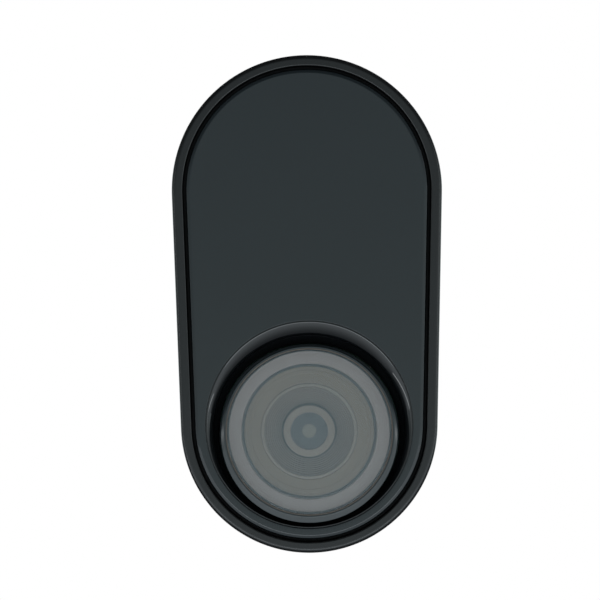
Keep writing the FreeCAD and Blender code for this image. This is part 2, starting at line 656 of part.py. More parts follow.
def bell_contacts():
    """Switch bodies on the front board and the plungers that the push presses."""
    foot_end = SKIRT_END - FOOT_SIZE[2]
    wide, tall, high = SWITCH_SIZE
    switches = []
    plungers = []
    for side in SIDES:
        x = side * (FOOT_X + SWITCH_OUTSET)
        top = foot_end - TOUCH
        plungers.append(disc(PLUNGER_R, top - PLUNGER_LENGTH, top, SKIRT_Z, x))
        switch = slab(wide, tall, FRONT_BOARD_TOP, FRONT_BOARD_TOP + high, x, SKIRT_Z)
        floor = top - PLUNGER_LENGTH - PUSH_TRAVEL - TOUCH
        switches.append(switch.cut(disc(PLUNGER_R + PLUNGER_BORE_GAP, floor, BODY_DEPTH,
                                        SKIRT_Z, x)))
    save("bell_switches", *switches)
    save("bell_plungers", *plungers)


# ---- camera turret ---------------------------------------------------------------------------------
def camera_turret():
    top_seat = IR_WINDOW_TOP - IR_WINDOW_THICK
    base = FRONT_BOARD_TOP
    flange = disc(TURRET_FLANGE_R, base, base + TURRET_FLANGE, LENS_Z)
    for side in SIDES:
        wide, tall, _ = SWITCH_SIZE
        flange = flange.cut(slab(wide + 0.4, tall + 0.4, 0, BODY_DEPTH,
                                 side * (FOOT_X + SWITCH_OUTSET), SKIRT_Z))
    body = joined([flange, disc(TURRET_R - 0.6, base, TURRET_TOP, LENS_Z),
                   disc(TURRET_R, HALO_SHELF + HALO_BOARD_THICK, TURRET_TOP, LENS_Z),
                   disc(TURRET_R + 0.6, HALO_SHELF - 1, HALO_SHELF, LENS_Z)])
    body = body.cut(disc(TURRET_LIP_BORE, top_seat, BODY_DEPTH, LENS_Z))
    body = body.cut(disc(TURRET_BORE, IR_BOARD_BACK, BODY_DEPTH, LENS_Z))
    body = body.cut(disc(TURRET_BORE - 0.7, base + TURRET_FLANGE, BODY_DEPTH, LENS_Z))
    return body.cut(disc(FRONT_BOARD_BORE, 0, BODY_DEPTH, LENS_Z))


def halo_light():
    back = HALO_SHELF
    top = back + HALO_BOARD_THICK
    save("halo_board", tube(HALO_BOARD_R, TURRET_R - 0.55, back, top, LENS_Z))
    wide, tall, high = HALO_LED
    middle = (HALO_BOARD_R + TURRET_R) / 2
    leds = []
    for x, z, angle in around(HALO_LED_COUNT, middle):
        led = slab(wide, tall, top, top + high)
        led.rotate(V(0, 0, 0), V(0, 1, 0), math.degrees(angle))
        leds.append(led.translated(V(x, 0, z)))
    save("halo_leds", *leds)


def infrared_light():
    top = IR_BOARD_BACK + IR_BOARD_THICK
    save("infrared_board", tube(TURRET_BORE - 0.1, IR_BOARD_BORE, IR_BOARD_BACK, top, LENS_Z))
    wide, tall, high = IR_LED
    save("infrared_leds", *[slab(wide, tall, top, top + high, x, z)
                            for x, z, _ in around(IR_LED_COUNT, IR_LED_RING)])
    save("infrared_window", tube(TURRET_LIP_BORE - 0.05, IR_WINDOW_BORE,
                                 IR_WINDOW_TOP - IR_WINDOW_THICK, IR_WINDOW_TOP, LENS_Z))


def lens_stack():
    seat = IR_BOARD_BACK + IR_BOARD_THICK
    save("lens_hood", turned([(HOOD_THROAT_R, seat), (HOOD_R, seat), (HOOD_R, HOOD_TOP),
                              (HOOD_MOUTH_R, HOOD_TOP), (HOOD_THROAT_R, HOOD_THROAT)], LENS_Z))
    save("lens_trim", tube(TRIM_R, HOOD_R, seat + 1.6, IR_WINDOW_TOP + 0.1, LENS_Z))
    save("lens_barrel", tube(BARREL_R, BARREL_BORE, BARREL_BACK, BARREL_TOP, LENS_Z))
    save("lens_retainer", tube(BARREL_R, LENS_R + 0.03, BARREL_TOP, RETAINER_TOP, LENS_Z))
    rise = LENS_CROWN - RETAINER_TOP
    radius = (LENS_R ** 2 + rise ** 2) / (2 * rise)
    dome = Part.makeSphere(radius, V(0, -(LENS_CROWN - radius), LENS_Z))
    save("front_lens", disc(LENS_R, LENS_BACK, LENS_CROWN, LENS_Z).common(dome))
    stop_top = LENS_BACK
    stop_back = stop_top - STOP_THICK
    save("aperture_stop", tube(STOP_R, STOP_HOLE, stop_back, stop_top, LENS_Z))
    save("inner_lens", turned([(0, stop_back - 2.0), (INNER_LENS_R, stop_back - 2.0),
                               (STOP_R, stop_back - 1.2), (STOP_R, stop_back),
                               (INNER_LENS_R, stop_back), (0, stop_back - 0.4)], LENS_Z))


def camera_core():
    top = CAMERA_BOARD_TOP
    save("camera_board", disc(CAMERA_BOARD_R, top - CAMERA_BOARD_THICK, top, LENS_Z))
    wide, tall, high = SENSOR
    save("image_sensor", slab(wide, tall, top, top + high, 0, LENS_Z))
    ledge = FILTER_BACK - FILTER_LEDGE
    holder = slab(HOLDER, HOLDER, top, HOLDER_TOP, 0, LENS_Z)
    holder = holder.cut(slab(wide + 2, tall + 2, top - 1, ledge, 0, LENS_Z))
    holder = holder.cut(slab(wide - 0.6, tall - 0.6, ledge - 1, FILTER_BACK + 1, 0, LENS_Z))
    holder = holder.cut(disc(BARREL_R + 0.05, FILTER_BACK, BODY_DEPTH, LENS_Z))
    save("lens_holder", holder)
    save("filter_glass", slab(FILTER[0], FILTER[0], FILTER_BACK, FILTER_BACK + FILTER[1], 0, LENS_Z))


# ---- boards, battery, speaker -----------------------------------------------------------------------
def main_board():
    body = plate(MAIN_BOARD_INSET, MAIN_BOARD_BACK, MAIN_BOARD_TOP)
    body = body.cut(slab(2 * TOP_ARC_R, HEIGHT, 0, BODY_DEPTH, 0, MAIN_BOARD_END_Z - HEIGHT / 2))
    for x, z in chassis_screw_places():
        body = body.cut(disc(BOSS_R + BOARD_CLEAR, 0, BODY_DEPTH, z, x))
    for x, z in front_board_posts():
        body = body.cut(disc(BOARD_POST_R + BOARD_CLEAR, 0, BODY_DEPTH, z, x))
    for x, z in main_board_posts():
        body = body.cut(disc(SCREW_R + 0.2, 0, BODY_DEPTH, z, x))
    return body


def front_board():
    radius = BOTTOM_ARC_R - FRONT_BOARD_INSET
    body = disc(radius, FRONT_BOARD_BACK, FRONT_BOARD_TOP, BOTTOM_ARC_Z)
    body = body.cut(disc(FRONT_BOARD_BORE, 0, BODY_DEPTH, LENS_Z))
    body = body.cut(slab(2 * TOP_ARC_R, HEIGHT, 0, BODY_DEPTH, 0,
                         BOTTOM_ARC_Z + FRONT_BOARD_RISE + HEIGHT / 2))
    for x, z in front_board_posts():
        body = body.cut(disc(SCREW_R + 0.2, 0, BODY_DEPTH, z, x))
    return body


def board_parts():
    """Chips, shield, radio and power parts on the main board's front."""
    top = MAIN_BOARD_TOP
    low = BOTTOM_ARC_Z + BATTERY_LOW + 0.75
    high = TOP_ARC_Z + SHIELD_RISE
    middle = (low + high) / 2
    save("processor_chips", slab(11, 11, top, top + 1.0, -11.5, high - 7),
         slab(6, 8, top, top + 0.9, 1, high - 5.5), slab(4, 4, top, top + 0.8, 1, high - 12.5))
    can = slab(24, high - low, top, top + SHIELD_HEIGHT, -6, middle)
    save("shield_can", can.cut(slab(24 - 2 * SHIELD_WALL, high - low - 2 * SHIELD_WALL,
                                    0, top + SHIELD_HEIGHT - SHIELD_WALL, -6, middle)))
    save("radio_module", slab(12, 16, top, top + 1.6, 13, high + 3))
    coils = [slab(5, 5, top, top + SHIELD_HEIGHT, 12, high - drop) for drop in (11, 17)]
    capacitors = [slab(1.6, 3.2, top, top + 1.5, 7 + 2.4 * i, low - 6) for i in range(3)]
    save("power_parts", *(coils + capacitors))


def battery():
    low = BOTTOM_ARC_Z + BATTERY_LOW
    wide = 2 * half_width(low, WALL + BATTERY_SIDE_ROOM)
    tall = TOP_ARC_Z + BATTERY_HIGH - low
    front = CHASSIS_BACK - BATTERY_PAD
    cell = slab(wide, tall, BATTERY_BACK, front, 0, low + tall / 2)
    cell = cell.makeFillet(1.5, [e for e in cell.Edges if e.BoundBox.XLength < 0.01
                                 and e.BoundBox.ZLength < 0.01])
    save("battery_cell", cell)
    inset = 2 * BATTERY_PAD_INSET
    save("battery_pad", slab(wide - inset, tall - inset, front, CHASSIS_BACK, 0, low + tall / 2))
    plug_high = 3.4
    plug = slab(6.0, 3.6, MAIN_BOARD_TOP, MAIN_BOARD_TOP + plug_high, -10, low - 4.6)
    wires = [Part.makeCylinder(0.5, 2.8, V(x, -(MAIN_BOARD_TOP + plug_high - 1), low - 2.8))
             for x in (-11.4, -8.6)]
    save("battery_lead", joined([plug] + wires))


def antenna():
    """Printed strip that follows the top arc inside the housing."""
    strip = tube(TOP_ARC_R - WALL - 0.1, TOP_ARC_R - WALL - 0.4, 12.0, 19.0, TOP_ARC_Z)
    return strip.common(slab(24, 2 * TOP_ARC_R, 0, BODY_DEPTH, 0, TOP_ARC_Z + TOP_ARC_R))


def speaker():
    wide, tall, deep = SPEAKER_BOX
    z = SPEAKER_TOP_Z - tall / 2
    front = CAVITY_FLOOR + deep
    box = slab(wide, tall, CAVITY_FLOOR, front, 0, z)
    box = box.cut(slab(wide - 1.6, tall - 1.6, CAVITY_FLOOR + 0.6, front - 0.6, 0, z))
    end = SPEAKER_TOP_Z - tall
    duct_wide, duct_high = DUCT
    low, high = SOUND_DEPTH - duct_high / 2, SOUND_DEPTH + duct_high / 2
    channel = slab(duct_wide - 2 * DUCT_WALL, 4 * WALL, low + DUCT_WALL, high - DUCT_WALL, 0, end)
    save("speaker_enclosure", box.cut(channel))
    save("speaker_driver", joined([disc(SPEAKER_R, CAVITY_FLOOR + 0.6, CAVITY_FLOOR + 1.6, z),
                                   turned([(0, CAVITY_FLOOR + 1.6), (SPEAKER_R, CAVITY_FLOOR + 1.6),
                                           (SPEAKER_R, CAVITY_FLOOR + 2.4),
                                           (SPEAKER_R - 3, CAVITY_FLOOR + 2.0),
                                           (0, CAVITY_FLOOR + 2.8)], z)]))
    reach = end - (BOTTOM_ARC_Z - BOTTOM_ARC_R)
    duct = slab(duct_wide, 2 * reach, low, high, 0, end - reach)
    hollow = slab(duct_wide - 2 * DUCT_WALL, 3 * reach, low + DUCT_WALL, high - DUCT_WALL,
                  0, end - reach)
    save("speaker_duct", duct.cut(hollow).common(plate(WALL, CAVITY_FLOOR, CHASSIS_BACK)))


def microphone():
    end = SPEAKER_TOP_Z - SPEAKER_BOX[1]
    seat = end - 1.4
    bottom = BOTTOM_ARC_Z - BOTTOM_ARC_R
    boot = Part.makeCylinder(MIC_R, seat - bottom, V(MIC_X, -SOUND_DEPTH, bottom))
    boot = boot.cut(Part.makeCylinder(MIC_HOLE_R, seat - bottom, V(MIC_X, -SOUND_DEPTH, bottom)))
    save("microphone_boot", boot.common(plate(WALL, CAVITY_FLOOR, CHASSIS_BACK)))
    save("microphone", Part.makeCylinder(MIC_R, 1.2, V(MIC_X, -SOUND_DEPTH, seat)))


def camera_flex():
    """Ribbon from the camera board through the front board to a socket on the main board."""
    thick = 0.2
    run_z = LENS_Z + FRONT_BOARD_BORE - 1.8
    low = MAIN_BOARD_TOP + 0.5
    socket_end = MAIN_BOARD_END_Z + 1.0
    rise = Part.makeBox(8, FRONT_BOARD_TOP + TURRET_FLANGE - low, thick,
                        V(-4, -(FRONT_BOARD_TOP + TURRET_FLANGE), run_z))
    run = Part.makeBox(8, thick, socket_end - run_z, V(-4, -low - thick, run_z))
    save("camera_flex", joined([rise, run]))
    socket = Part.makeBox(10, FRONT_BOARD_BACK - MAIN_BOARD_TOP, 3.0,
                          V(-5, -FRONT_BOARD_BACK, socket_end))
    save("board_connector", socket)


# ---- side key ------------------------------------------------------------------------------------
def side_key():
    """Key in the right-hand wall with the flange that keeps it in."""
    stem = key_box(0, WALL + 0.5, -KEY_PROUD)
    inner = WALL + KEY_GAP
    flange = key_box(0, inner + KEY_FLANGE, inner, KEY_FLANGE_STEP)
    save("side_key", joined([stem, flange]))
    tip = half_width(KEY_Z - SIDE_PLUNGER_R, inner + KEY_FLANGE) - TOUCH
    along = V(1, 0, 0)
    rod = Part.makeCylinder(SIDE_PLUNGER_R, SIDE_PLUNGER_LENGTH,
                            V(tip - SIDE_PLUNGER_LENGTH, -KEY_DEPTH, KEY_Z), along)
    save("side_plunger", rod)
    wide, tall, deep = SIDE_SWITCH
    front = half_width(KEY_Z - KEY_LENGTH, inner + KEY_FLANGE) - KEY_TRAVEL - SIDE_SWITCH_GAP
    body = Part.makeBox(wide, deep, tall,
                        V(front - wide, -KEY_DEPTH - deep / 2, KEY_Z - tall / 2))
    bore = Part.makeCylinder(SIDE_PLUNGER_R + PLUNGER_BORE_GAP, 10,
                             V(tip - SIDE_PLUNGER_LENGTH - KEY_TRAVEL - TOUCH,
                               -KEY_DEPTH, KEY_Z), along)
    save("side_switch", body.cut(bore))
    board_x = front - wide - SIDE_BOARD[0]
    save("side_board", Part.makeBox(SIDE_BOARD[0], SIDE_BOARD[2], SIDE_BOARD[1],
                                    V(board_x, -MAIN_BOARD_TOP - SIDE_BOARD[2],
                                      KEY_Z - SIDE_BOARD[1] / 2)))


# ---- build ----------------------------------------------------------------------------------------
def build():
    os.makedirs("parts", exist_ok=True)
    save("housing", housing())
    save("wall_bracket", wall_bracket())
    save("wall_gasket", band(0.9, WALL - 0.3, 0, SKIRT_GAP))
    save("security_screw", security_screw())
    terminals()
    save("chassis", chassis())
    save("chassis_screws", *[screw(x, z, CHASSIS_TOP, CHASSIS_BACK - SCREW_GRIP)
                             for x, z in chassis_screw_places()])
    save("plate_bond", plate_bond())
    save("front_plate", front_plate())
    gasket_top = PLATE_TOP - GASKET_DROP
    save("plate_gasket", band(WALL, WALL + PLATE_GROOVE, gasket_top - GASKET_HEIGHT, gasket_top))
    save("dish_bezel", dish_bezel())
    save("push_ring", push_ring())
    save("push_window", push_window())
    save("window_bond", tube(WINDOW_R + WINDOW_BOND, WINDOW_R, WINDOW_SEAT,
                             WINDOW_EDGE_TOP - 0.1, LENS_Z))
    save("light_ring", tube(LIGHT_RING_R, LIGHT_RING_BORE, WINDOW_SEAT - LIGHT_RING_THICK,
                            WINDOW_SEAT, LENS_Z))
    save("push_seal", tube(SEAL_R, SEAL_R - SEAL_WALL, FRONT_BOARD_TOP + TURRET_FLANGE,
                           SKIRT_END, LENS_Z))
    bell_contacts()
    save("camera_turret", camera_turret())
    halo_light()
    infrared_light()
    lens_stack()
    camera_core()
    camera_flex()
    save("main_board", main_board())
    save("board_screws", *[screw(x, z, MAIN_BOARD_TOP, CAVITY_FLOOR + 0.2)
                           for x, z in main_board_posts()])
    save("front_board", front_board())
    save("front_board_screws", *[screw(x, z, FRONT_BOARD_TOP, FRONT_BOARD_TOP - SCREW_GRIP)
                                 for x, z in front_board_posts()])
    board_parts()
    battery()
    save("antenna", antenna())
    speaker()
    microphone()
    side_key()


build()
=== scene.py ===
"""Looks of a wall-mounted video doorbell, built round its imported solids.

Frame: metres, +Z up, +X to the right as a visitor sees it. The wall is the plane Y = 0 and
the front faces -Y. Sizes in the classes are millimetres, and a depth is the distance out
from the wall, so a point at depth d has Y = -d.
"""
import logging
import math
from dataclasses import dataclass
from enum import Enum
from typing import Sequence

import bmesh
import bpy
from mathutils import Matrix, Vector


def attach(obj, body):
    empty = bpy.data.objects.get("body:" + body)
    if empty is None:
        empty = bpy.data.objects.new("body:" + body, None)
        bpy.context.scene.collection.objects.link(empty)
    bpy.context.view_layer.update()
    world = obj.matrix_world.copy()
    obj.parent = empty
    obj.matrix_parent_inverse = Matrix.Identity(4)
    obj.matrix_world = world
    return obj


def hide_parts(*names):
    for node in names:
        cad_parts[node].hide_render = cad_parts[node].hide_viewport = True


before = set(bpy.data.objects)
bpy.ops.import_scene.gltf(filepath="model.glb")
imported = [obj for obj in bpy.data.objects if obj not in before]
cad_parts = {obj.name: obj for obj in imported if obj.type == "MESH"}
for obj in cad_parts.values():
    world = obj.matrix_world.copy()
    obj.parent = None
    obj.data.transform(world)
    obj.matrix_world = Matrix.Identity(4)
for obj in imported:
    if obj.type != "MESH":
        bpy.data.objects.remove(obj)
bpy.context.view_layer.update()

log = logging.getLogger("doorbell")
MM = 0.001
Colour = tuple[float, float, float]
Loop = list[Vector]
Section = Sequence[tuple[float, ...]]
Piece = bpy.types.Object
Tree = bpy.types.NodeTree
Node = bpy.types.Node
Socket = bpy.types.NodeSocket
FLOAT = "NodeSocketFloat"
GEOMETRY = "NodeSocketGeometry"

# Heights and places that several sub-assemblies share.
LENS_HEIGHT = -28.4
TERMINAL_X = 6.0
TERMINAL_Z = 15.0

# How meshes are made: points on each end arc, the share of an edge that a rounding may take,
# how many times its reach the shading is held, the sharpest fold that is shaded smooth, and
# the distance in metres under which points are one.
ARC_POINTS = 128
ROUND_SHARE = 0.4
HOLD = 1.2
SMOOTH_DEGREES = 34
WELD = 1e-7


class Body(Enum):
    """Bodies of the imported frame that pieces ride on."""

    FIXED = "doorbell_body"
    PUSH = "bell_push"
    SIDE_KEY = "side_key"


class Carve(Enum):
    """How one closed mesh acts on another."""

    CUT = "DIFFERENCE"
    JOIN = "UNION"


# ---- node trees -----------------------------------------------------------------------------
class Graph:
    """Adds nodes to one node tree and joins them."""

    def __init__(self, tree: Tree) -> None:
        """Keep the tree that the nodes go into."""
        self.tree = tree
        self.end: Node | None = None

    def add(self, kind: str, inputs: dict | None = None, **settings: object) -> Node:
        """Add one node.

        Args:
            kind: the node's type name.
            inputs: values or sockets for its inputs, by name or index.
            **settings: properties to set on the node.

        Returns:
            The new node.
        """
        node = self.tree.nodes.new(kind)
        for name, value in settings.items():
            setattr(node, name, value)
        return self.fill(node, inputs or {})

    def fill(self, node: Node, inputs: dict) -> Node:
        """Set a node's inputs, by name or index, to values or sockets and return the node."""
        for key, value in inputs.items():
            if isinstance(value, Socket):
                self.tree.links.new(value, node.inputs[key])
            else:
                node.inputs[key].default_value = value
        return node

    def done(self, socket: Socket) -> Tree:
        """Send a socket to the group's output and return the tree."""
        self.tree.links.new(socket, self.end.inputs[0])
        return self.tree

    def math(self, operation: str, *values: object) -> Socket:
        """Add a math node and return its result."""
        return self.add("ShaderNodeMath", dict(enumerate(values)), operation=operation).outputs[0]


def new_group(name: str, kind: str, inputs: dict[str, tuple[str, object]],
              outputs: dict[str, str]) -> tuple[Graph, dict]:
    """Start a node group with named sockets.

    Args:
        name: the group's name.
        kind: its tree type.
        inputs: socket type and default value for each named input.
        outputs: socket type for each named output.

    Returns:
        The graph and its input sockets by name.
    """
    tree = bpy.data.node_groups.new(name, kind)
    for label, (socket_kind, value) in inputs.items():
        socket = tree.interface.new_socket(name=label, in_out="INPUT", socket_type=socket_kind)
        if value is not None:
            socket.default_value = value
    for label, socket_kind in outputs.items():
        tree.interface.new_socket(name=label, in_out="OUTPUT", socket_type=socket_kind)
    graph = Graph(tree)
    start = graph.add("NodeGroupInput")
    graph.end = graph.add("NodeGroupOutput")
    return graph, {s.name: s for s in start.outputs}


class Trees:
    """Geometry Nodes trees, each built once."""

    _made: dict[str, Tree] = {}

    @classmethod
    def get(cls, name: str) -> Tree:
        """Return a tree by its builder's name, building it the first time."""
        if name not in cls._made:
            cls._made[name] = getattr(cls, name)()
        return cls._made[name]

    @staticmethod
    def _started(name: str, shape: str,
                 inputs: dict[str, tuple[str, object]]) -> tuple[Graph, dict]:
        """Start a tree that takes a shape, some sizes and a finish."""
        return new_group(name, "GeometryNodeTree",
                         {shape: (GEOMETRY, None), **inputs,
                          "Finish": ("NodeSocketMaterial", None)}, {"Geometry": GEOMETRY})

    @staticmethod
    def _finished(g: Graph, shape: Node, sizes: dict) -> Tree:
        """Realize a tree's shape, set its material and send it to the output."""
        whole = g.add("GeometryNodeRealizeInstances", {0: shape.outputs[0]})
        done = g.add("GeometryNodeSetMaterial", {"Geometry": whole.outputs[0],
                                                 "Material": sizes["Finish"]})
        return g.done(done.outputs[0])

    @staticmethod
    def swept_outline() -> Tree:
        """Sweep a section's edges round two arcs joined by their tangents."""
        g, sizes = Trees._started(
            "Swept Outline", "Section",
            {"Top Radius": (FLOAT, 0.03), "Low Radius": (FLOAT, 0.0285),
             "Top Height": (FLOAT, 0.025), "Low Height": (FLOAT, -0.027),
             "Arc Points": ("NodeSocketInt", ARC_POINTS)})
        count = sizes["Arc Points"]
        shrink = g.math("SUBTRACT", sizes["Top Radius"], sizes["Low Radius"])
        drop = g.math("SUBTRACT", sizes["Top Height"], sizes["Low Height"])
        lean = g.math("ARCSINE", g.math("DIVIDE", shrink, drop))
        index = g.add("GeometryNodeInputIndex").outputs[0]
        low = g.math("GREATER_THAN", index, g.math("SUBTRACT", count, 0.5))
        step = g.math("SUBTRACT", index, g.math("MULTIPLY", low, count))
        share = g.math("DIVIDE", step, g.math("SUBTRACT", count, 1.0))
        top_span = g.math("MULTIPLY_ADD", lean, 2.0, math.pi)
        first = g.math("SUBTRACT", g.math("MULTIPLY", low, top_span), lean)
        span = g.math("SUBTRACT", top_span, g.math("MULTIPLY", g.math("MULTIPLY", low, lean), 4.0))
        angle = g.math("MULTIPLY_ADD", share, span, first)
        radius = g.math("SUBTRACT", sizes["Top Radius"], g.math("MULTIPLY", low, shrink))
        height = g.math("SUBTRACT", sizes["Top Height"], g.math("MULTIPLY", low, drop))
        across = g.math("MULTIPLY", radius, g.math("COSINE", angle))
        up = g.math("MULTIPLY_ADD", radius, g.math("SINE", angle), height)
        place = g.add("ShaderNodeCombineXYZ", {0: across, 1: up}).outputs[0]
        circle = g.add("GeometryNodeCurvePrimitiveCircle",
                       {"Resolution": g.math("MULTIPLY", count, 2.0)})
        path = g.add("GeometryNodeSetPosition", {"Geometry": circle.outputs[0], "Position": place})
        path = g.add("GeometryNodeSetCurveNormal", {"Curve": path.outputs[0]}, mode="Z_UP")
        section = g.add("GeometryNodeMeshToCurve", {"Mesh": sizes["Section"]})
        swept = g.add("GeometryNodeCurveToMesh",
                      {"Curve": path.outputs[0], "Profile Curve": section.outputs[0]})
        stood = g.add("GeometryNodeTransform", {"Geometry": swept.outputs[0],
                                                "Rotation": (math.pi / 2, 0, 0)})
        return Trees._finished(g, stood, sizes)

    @staticmethod
    def ring_of_copies() -> Tree:
        """Set copies of a mesh evenly round the depth axis, each turned to face outwards."""
        g, sizes = Trees._started(
            "Ring Of Copies", "Copy",
            {"Count": ("NodeSocketInt", 12), "Radius": (FLOAT, 0.01), "Height": (FLOAT, 0.0)})
        index = g.add("GeometryNodeInputIndex").outputs[0]
        turn = g.math("DIVIDE", g.math("MULTIPLY", index, math.tau), sizes["Count"])
        across = g.math("MULTIPLY", sizes["Radius"], g.math("SINE", turn))
        up = g.math("MULTIPLY_ADD", sizes["Radius"], g.math("COSINE", turn), sizes["Height"])
        place = g.add("ShaderNodeCombineXYZ", {0: across, 2: up}).outputs[0]
        facing = g.add("ShaderNodeCombineXYZ", {1: turn}).outputs[0]
        line = g.add("GeometryNodeMeshLine", {"Count": sizes["Count"]})
        spots = g.add("GeometryNodeSetPosition", {"Geometry": line.outputs[0], "Position": place})
        copies = g.add("GeometryNodeInstanceOnPoints",
                       {"Points": spots.outputs[0], "Instance": sizes["Copy"], "Rotation": facing})
        return Trees._finished(g, copies, sizes)

    @staticmethod
    def row_of_copies() -> Tree:
        """Set copies of a mesh in a straight row centred on its own place."""
        g, sizes = Trees._started(
            "Row Of Copies", "Copy",
            {"Count": ("NodeSocketInt", 5), "Pitch": ("NodeSocketVector", (0.002, 0.0, 0.0))})
        half = g.math("DIVIDE", g.math("SUBTRACT", 1.0, sizes["Count"]), 2.0)
        first = g.add("ShaderNodeVectorMath", {0: sizes["Pitch"], "Scale": half},
                      operation="SCALE").outputs[0]
        line = g.add("GeometryNodeMeshLine", {"Count": sizes["Count"], "Start Location": first,
                                              "Offset": sizes["Pitch"]})
        copies = g.add("GeometryNodeInstanceOnPoints",
                       {"Points": line.outputs[0], "Instance": sizes["Copy"]})
        return Trees._finished(g, copies, sizes)


# ---- meshes ---------------------------------------------------------------------------------
@dataclass(frozen=True)
class Corner:
    """Corner of a section, in millimetres.

    across is a radius, or an inset from the outline. axis is how far this corner's circle
    is centred above the piece's own axis.
    """

    across: float
    depth: float
    rounding: float = 0.0
    axis: float = 0.0


def softened(section: Section, closed: bool = True, steps: int = 6) -> list[Vector]:
    """Round a section's corners.

    Args:
        section: each corner's across, depth, rounding and axis, in order.
        closed: whether the last joins the first.
        steps: facets across each rounding.

    Returns:
        Points of across, depth and axis, in millimetres.
    """
    corners = [Corner(*row) for row in section]
    places = [Vector((c.across, c.depth, c.axis)) for c in corners]
    points: list[Vector] = []
    for i, corner in enumerate(corners):
        here = places[i]
        if not corner.rounding or (not closed and i in (0, len(corners) - 1)):
            points.append(here)
            continue
        before = places[i - 1] - here
        after = places[(i + 1) % len(corners)] - here
        back, on = before.normalized(), after.normalized()
        half = back.angle(on) / 2
        reach = min(corner.rounding / math.tan(half), ROUND_SHARE * before.length,
                    ROUND_SHARE * after.length)
        radius = reach * math.tan(half)
        centre = here + (back + on).normalized() * (radius / math.sin(half))
        first = (here + back * reach - centre).normalized()
        last = (here + on * reach - centre).normalized()
        points.append(here + back * reach * HOLD)
        points += [centre + first.slerp(last, k / steps) * radius for k in range(steps + 1)]
        points.append(here + on * reach * HOLD)
    return points


def circle(radius: float, depth: float, height: float, count: int) -> Loop:
    """Points of a circle about the depth axis, in metres."""
    turns = (math.tau * i / count for i in range(count))
    return [Vector((radius * math.sin(a), -depth, height + radius * math.cos(a))) * MM
            for a in turns]


def place_object(name: str, mesh: bpy.types.Mesh) -> Piece:
    """Put a mesh into the scene as an object at the origin."""
    piece = bpy.data.objects.new(name, mesh)
    bpy.context.scene.collection.objects.link(piece)
    return piece


def to_object(name: str, bm: bmesh.types.BMesh) -> Piece:
    """Close a built mesh's seams, turn its faces outwards and put it into the scene."""
    bmesh.ops.remove_doubles(bm, verts=bm.verts, dist=WELD)
    bmesh.ops.recalc_face_normals(bm, faces=bm.faces)
    mesh = bpy.data.meshes.new(name)
    bm.to_mesh(mesh)
    bm.free()
    return place_object(name, mesh)


def skin(name: str, loops: Sequence[Loop], closed: bool, capped: bool = False) -> Piece:
    """Join equal loops of points into one surface.

    Args:
        name: the object's name.
        loops: loops of points, in metres.
        closed: whether the last loop joins the first.
        capped: whether the end loops are filled.

    Returns:
        The new object.
    """
    bm = bmesh.new()
    rows = [[bm.verts.new(point) for point in loop] for loop in loops]
    follows = rows[1:] + rows[:1] if closed else rows[1:]
    for near, far in zip(rows, follows):
        for i, vert in enumerate(near):
            j = (i + 1) % len(near)
            bm.faces.new((vert, near[j], far[j], far[i]))
    if capped:
        bm.faces.new(rows[0])
        bm.faces.new(reversed(rows[-1]))
    return to_object(name, bm)


def turned(name: str, section: Section, height: float = LENS_HEIGHT, count: int = 160,
           steps: int = 6) -> Piece:
    """Turn a section about the depth axis.

    Args:
        name: the object's name.
        section: a closed ring of corners, or corners that run from axis to axis.
        height: the axis's height.
        count: points round the circle.
        steps: facets across each rounding.

    Returns:
        The new object.
    """
    closed = section[0][0] > 0
    loops = [circle(p.x, p.y, height + p.z, count) for p in softened(section, closed, steps)]
    return skin(name, loops, closed)


def block(name: str, low: Sequence[float], high: Sequence[float],
          rounding: float = 0.0, steps: int = 3) -> Piece:
    """Box between two corners (x, depth, height), with rounded edges."""
    bm = bmesh.new()
    bmesh.ops.create_cube(bm, size=1.0)
    middle = [(a + b) / 2 for a, b in zip(low, high)]
    size = [abs(b - a) for a, b in zip(low, high)]
    for vert in bm.verts:
        x, depth, up = (m + s * c for m, s, c in zip(middle, size, vert.co))
        vert.co = Vector((x, -depth, up)) * MM
    bmesh.ops.recalc_face_normals(bm, faces=bm.faces)
    if rounding:
        bmesh.ops.bevel(bm, geom=bm.edges[:], offset=rounding * MM, segments=steps,
                        affect="EDGES", profile=0.5)
    return to_object(name, bm)


def bake(piece: Piece) -> None:
    """Turn a piece's modifiers into plain mesh."""
    graph = bpy.context.evaluated_depsgraph_get()
    mesh = bpy.data.meshes.new_from_object(piece.evaluated_get(graph))
    piece.modifiers.clear()
    old = piece.data
    piece.data = mesh
    bpy.data.meshes.remove(old)


def grow(piece: Piece, tree: str, sizes: dict[str, object]) -> Piece:
    """Run a Geometry Nodes tree on a piece and keep the result as plain mesh.

    Args:
        piece: the object whose mesh goes into the tree.
        tree: the tree's name in Trees.
        sizes: values for the tree's named inputs.

    Returns:
        The same object.
    """
    modifier = piece.modifiers.new("grow", "NODES")
    modifier.node_group = Trees.get(tree)
    for item in modifier.node_group.interface.items_tree:
        if item.item_type == "SOCKET" and item.in_out == "INPUT" and item.name in sizes:
            modifier[item.identifier] = sizes[item.name]
    bake(piece)
    bm = bmesh.new()
    bm.from_mesh(piece.data)
    bmesh.ops.remove_doubles(bm, verts=bm.verts, dist=WELD)
    bmesh.ops.recalc_face_normals(bm, faces=bm.faces)
    bm.to_mesh(piece.data)
    bm.free()
    return piece


def carve(piece: Piece, how: Carve, *tools: Piece) -> Piece:
    """Cut closed meshes from a piece, or join them to it, and remove them."""
    for tool in tools:
        modifier = piece.modifiers.new("carve", "BOOLEAN")
        modifier.operation = how.value
        modifier.solver = "MANIFOLD"
        modifier.object = tool
        bake(piece)
        bpy.data.objects.remove(tool)
    return piece


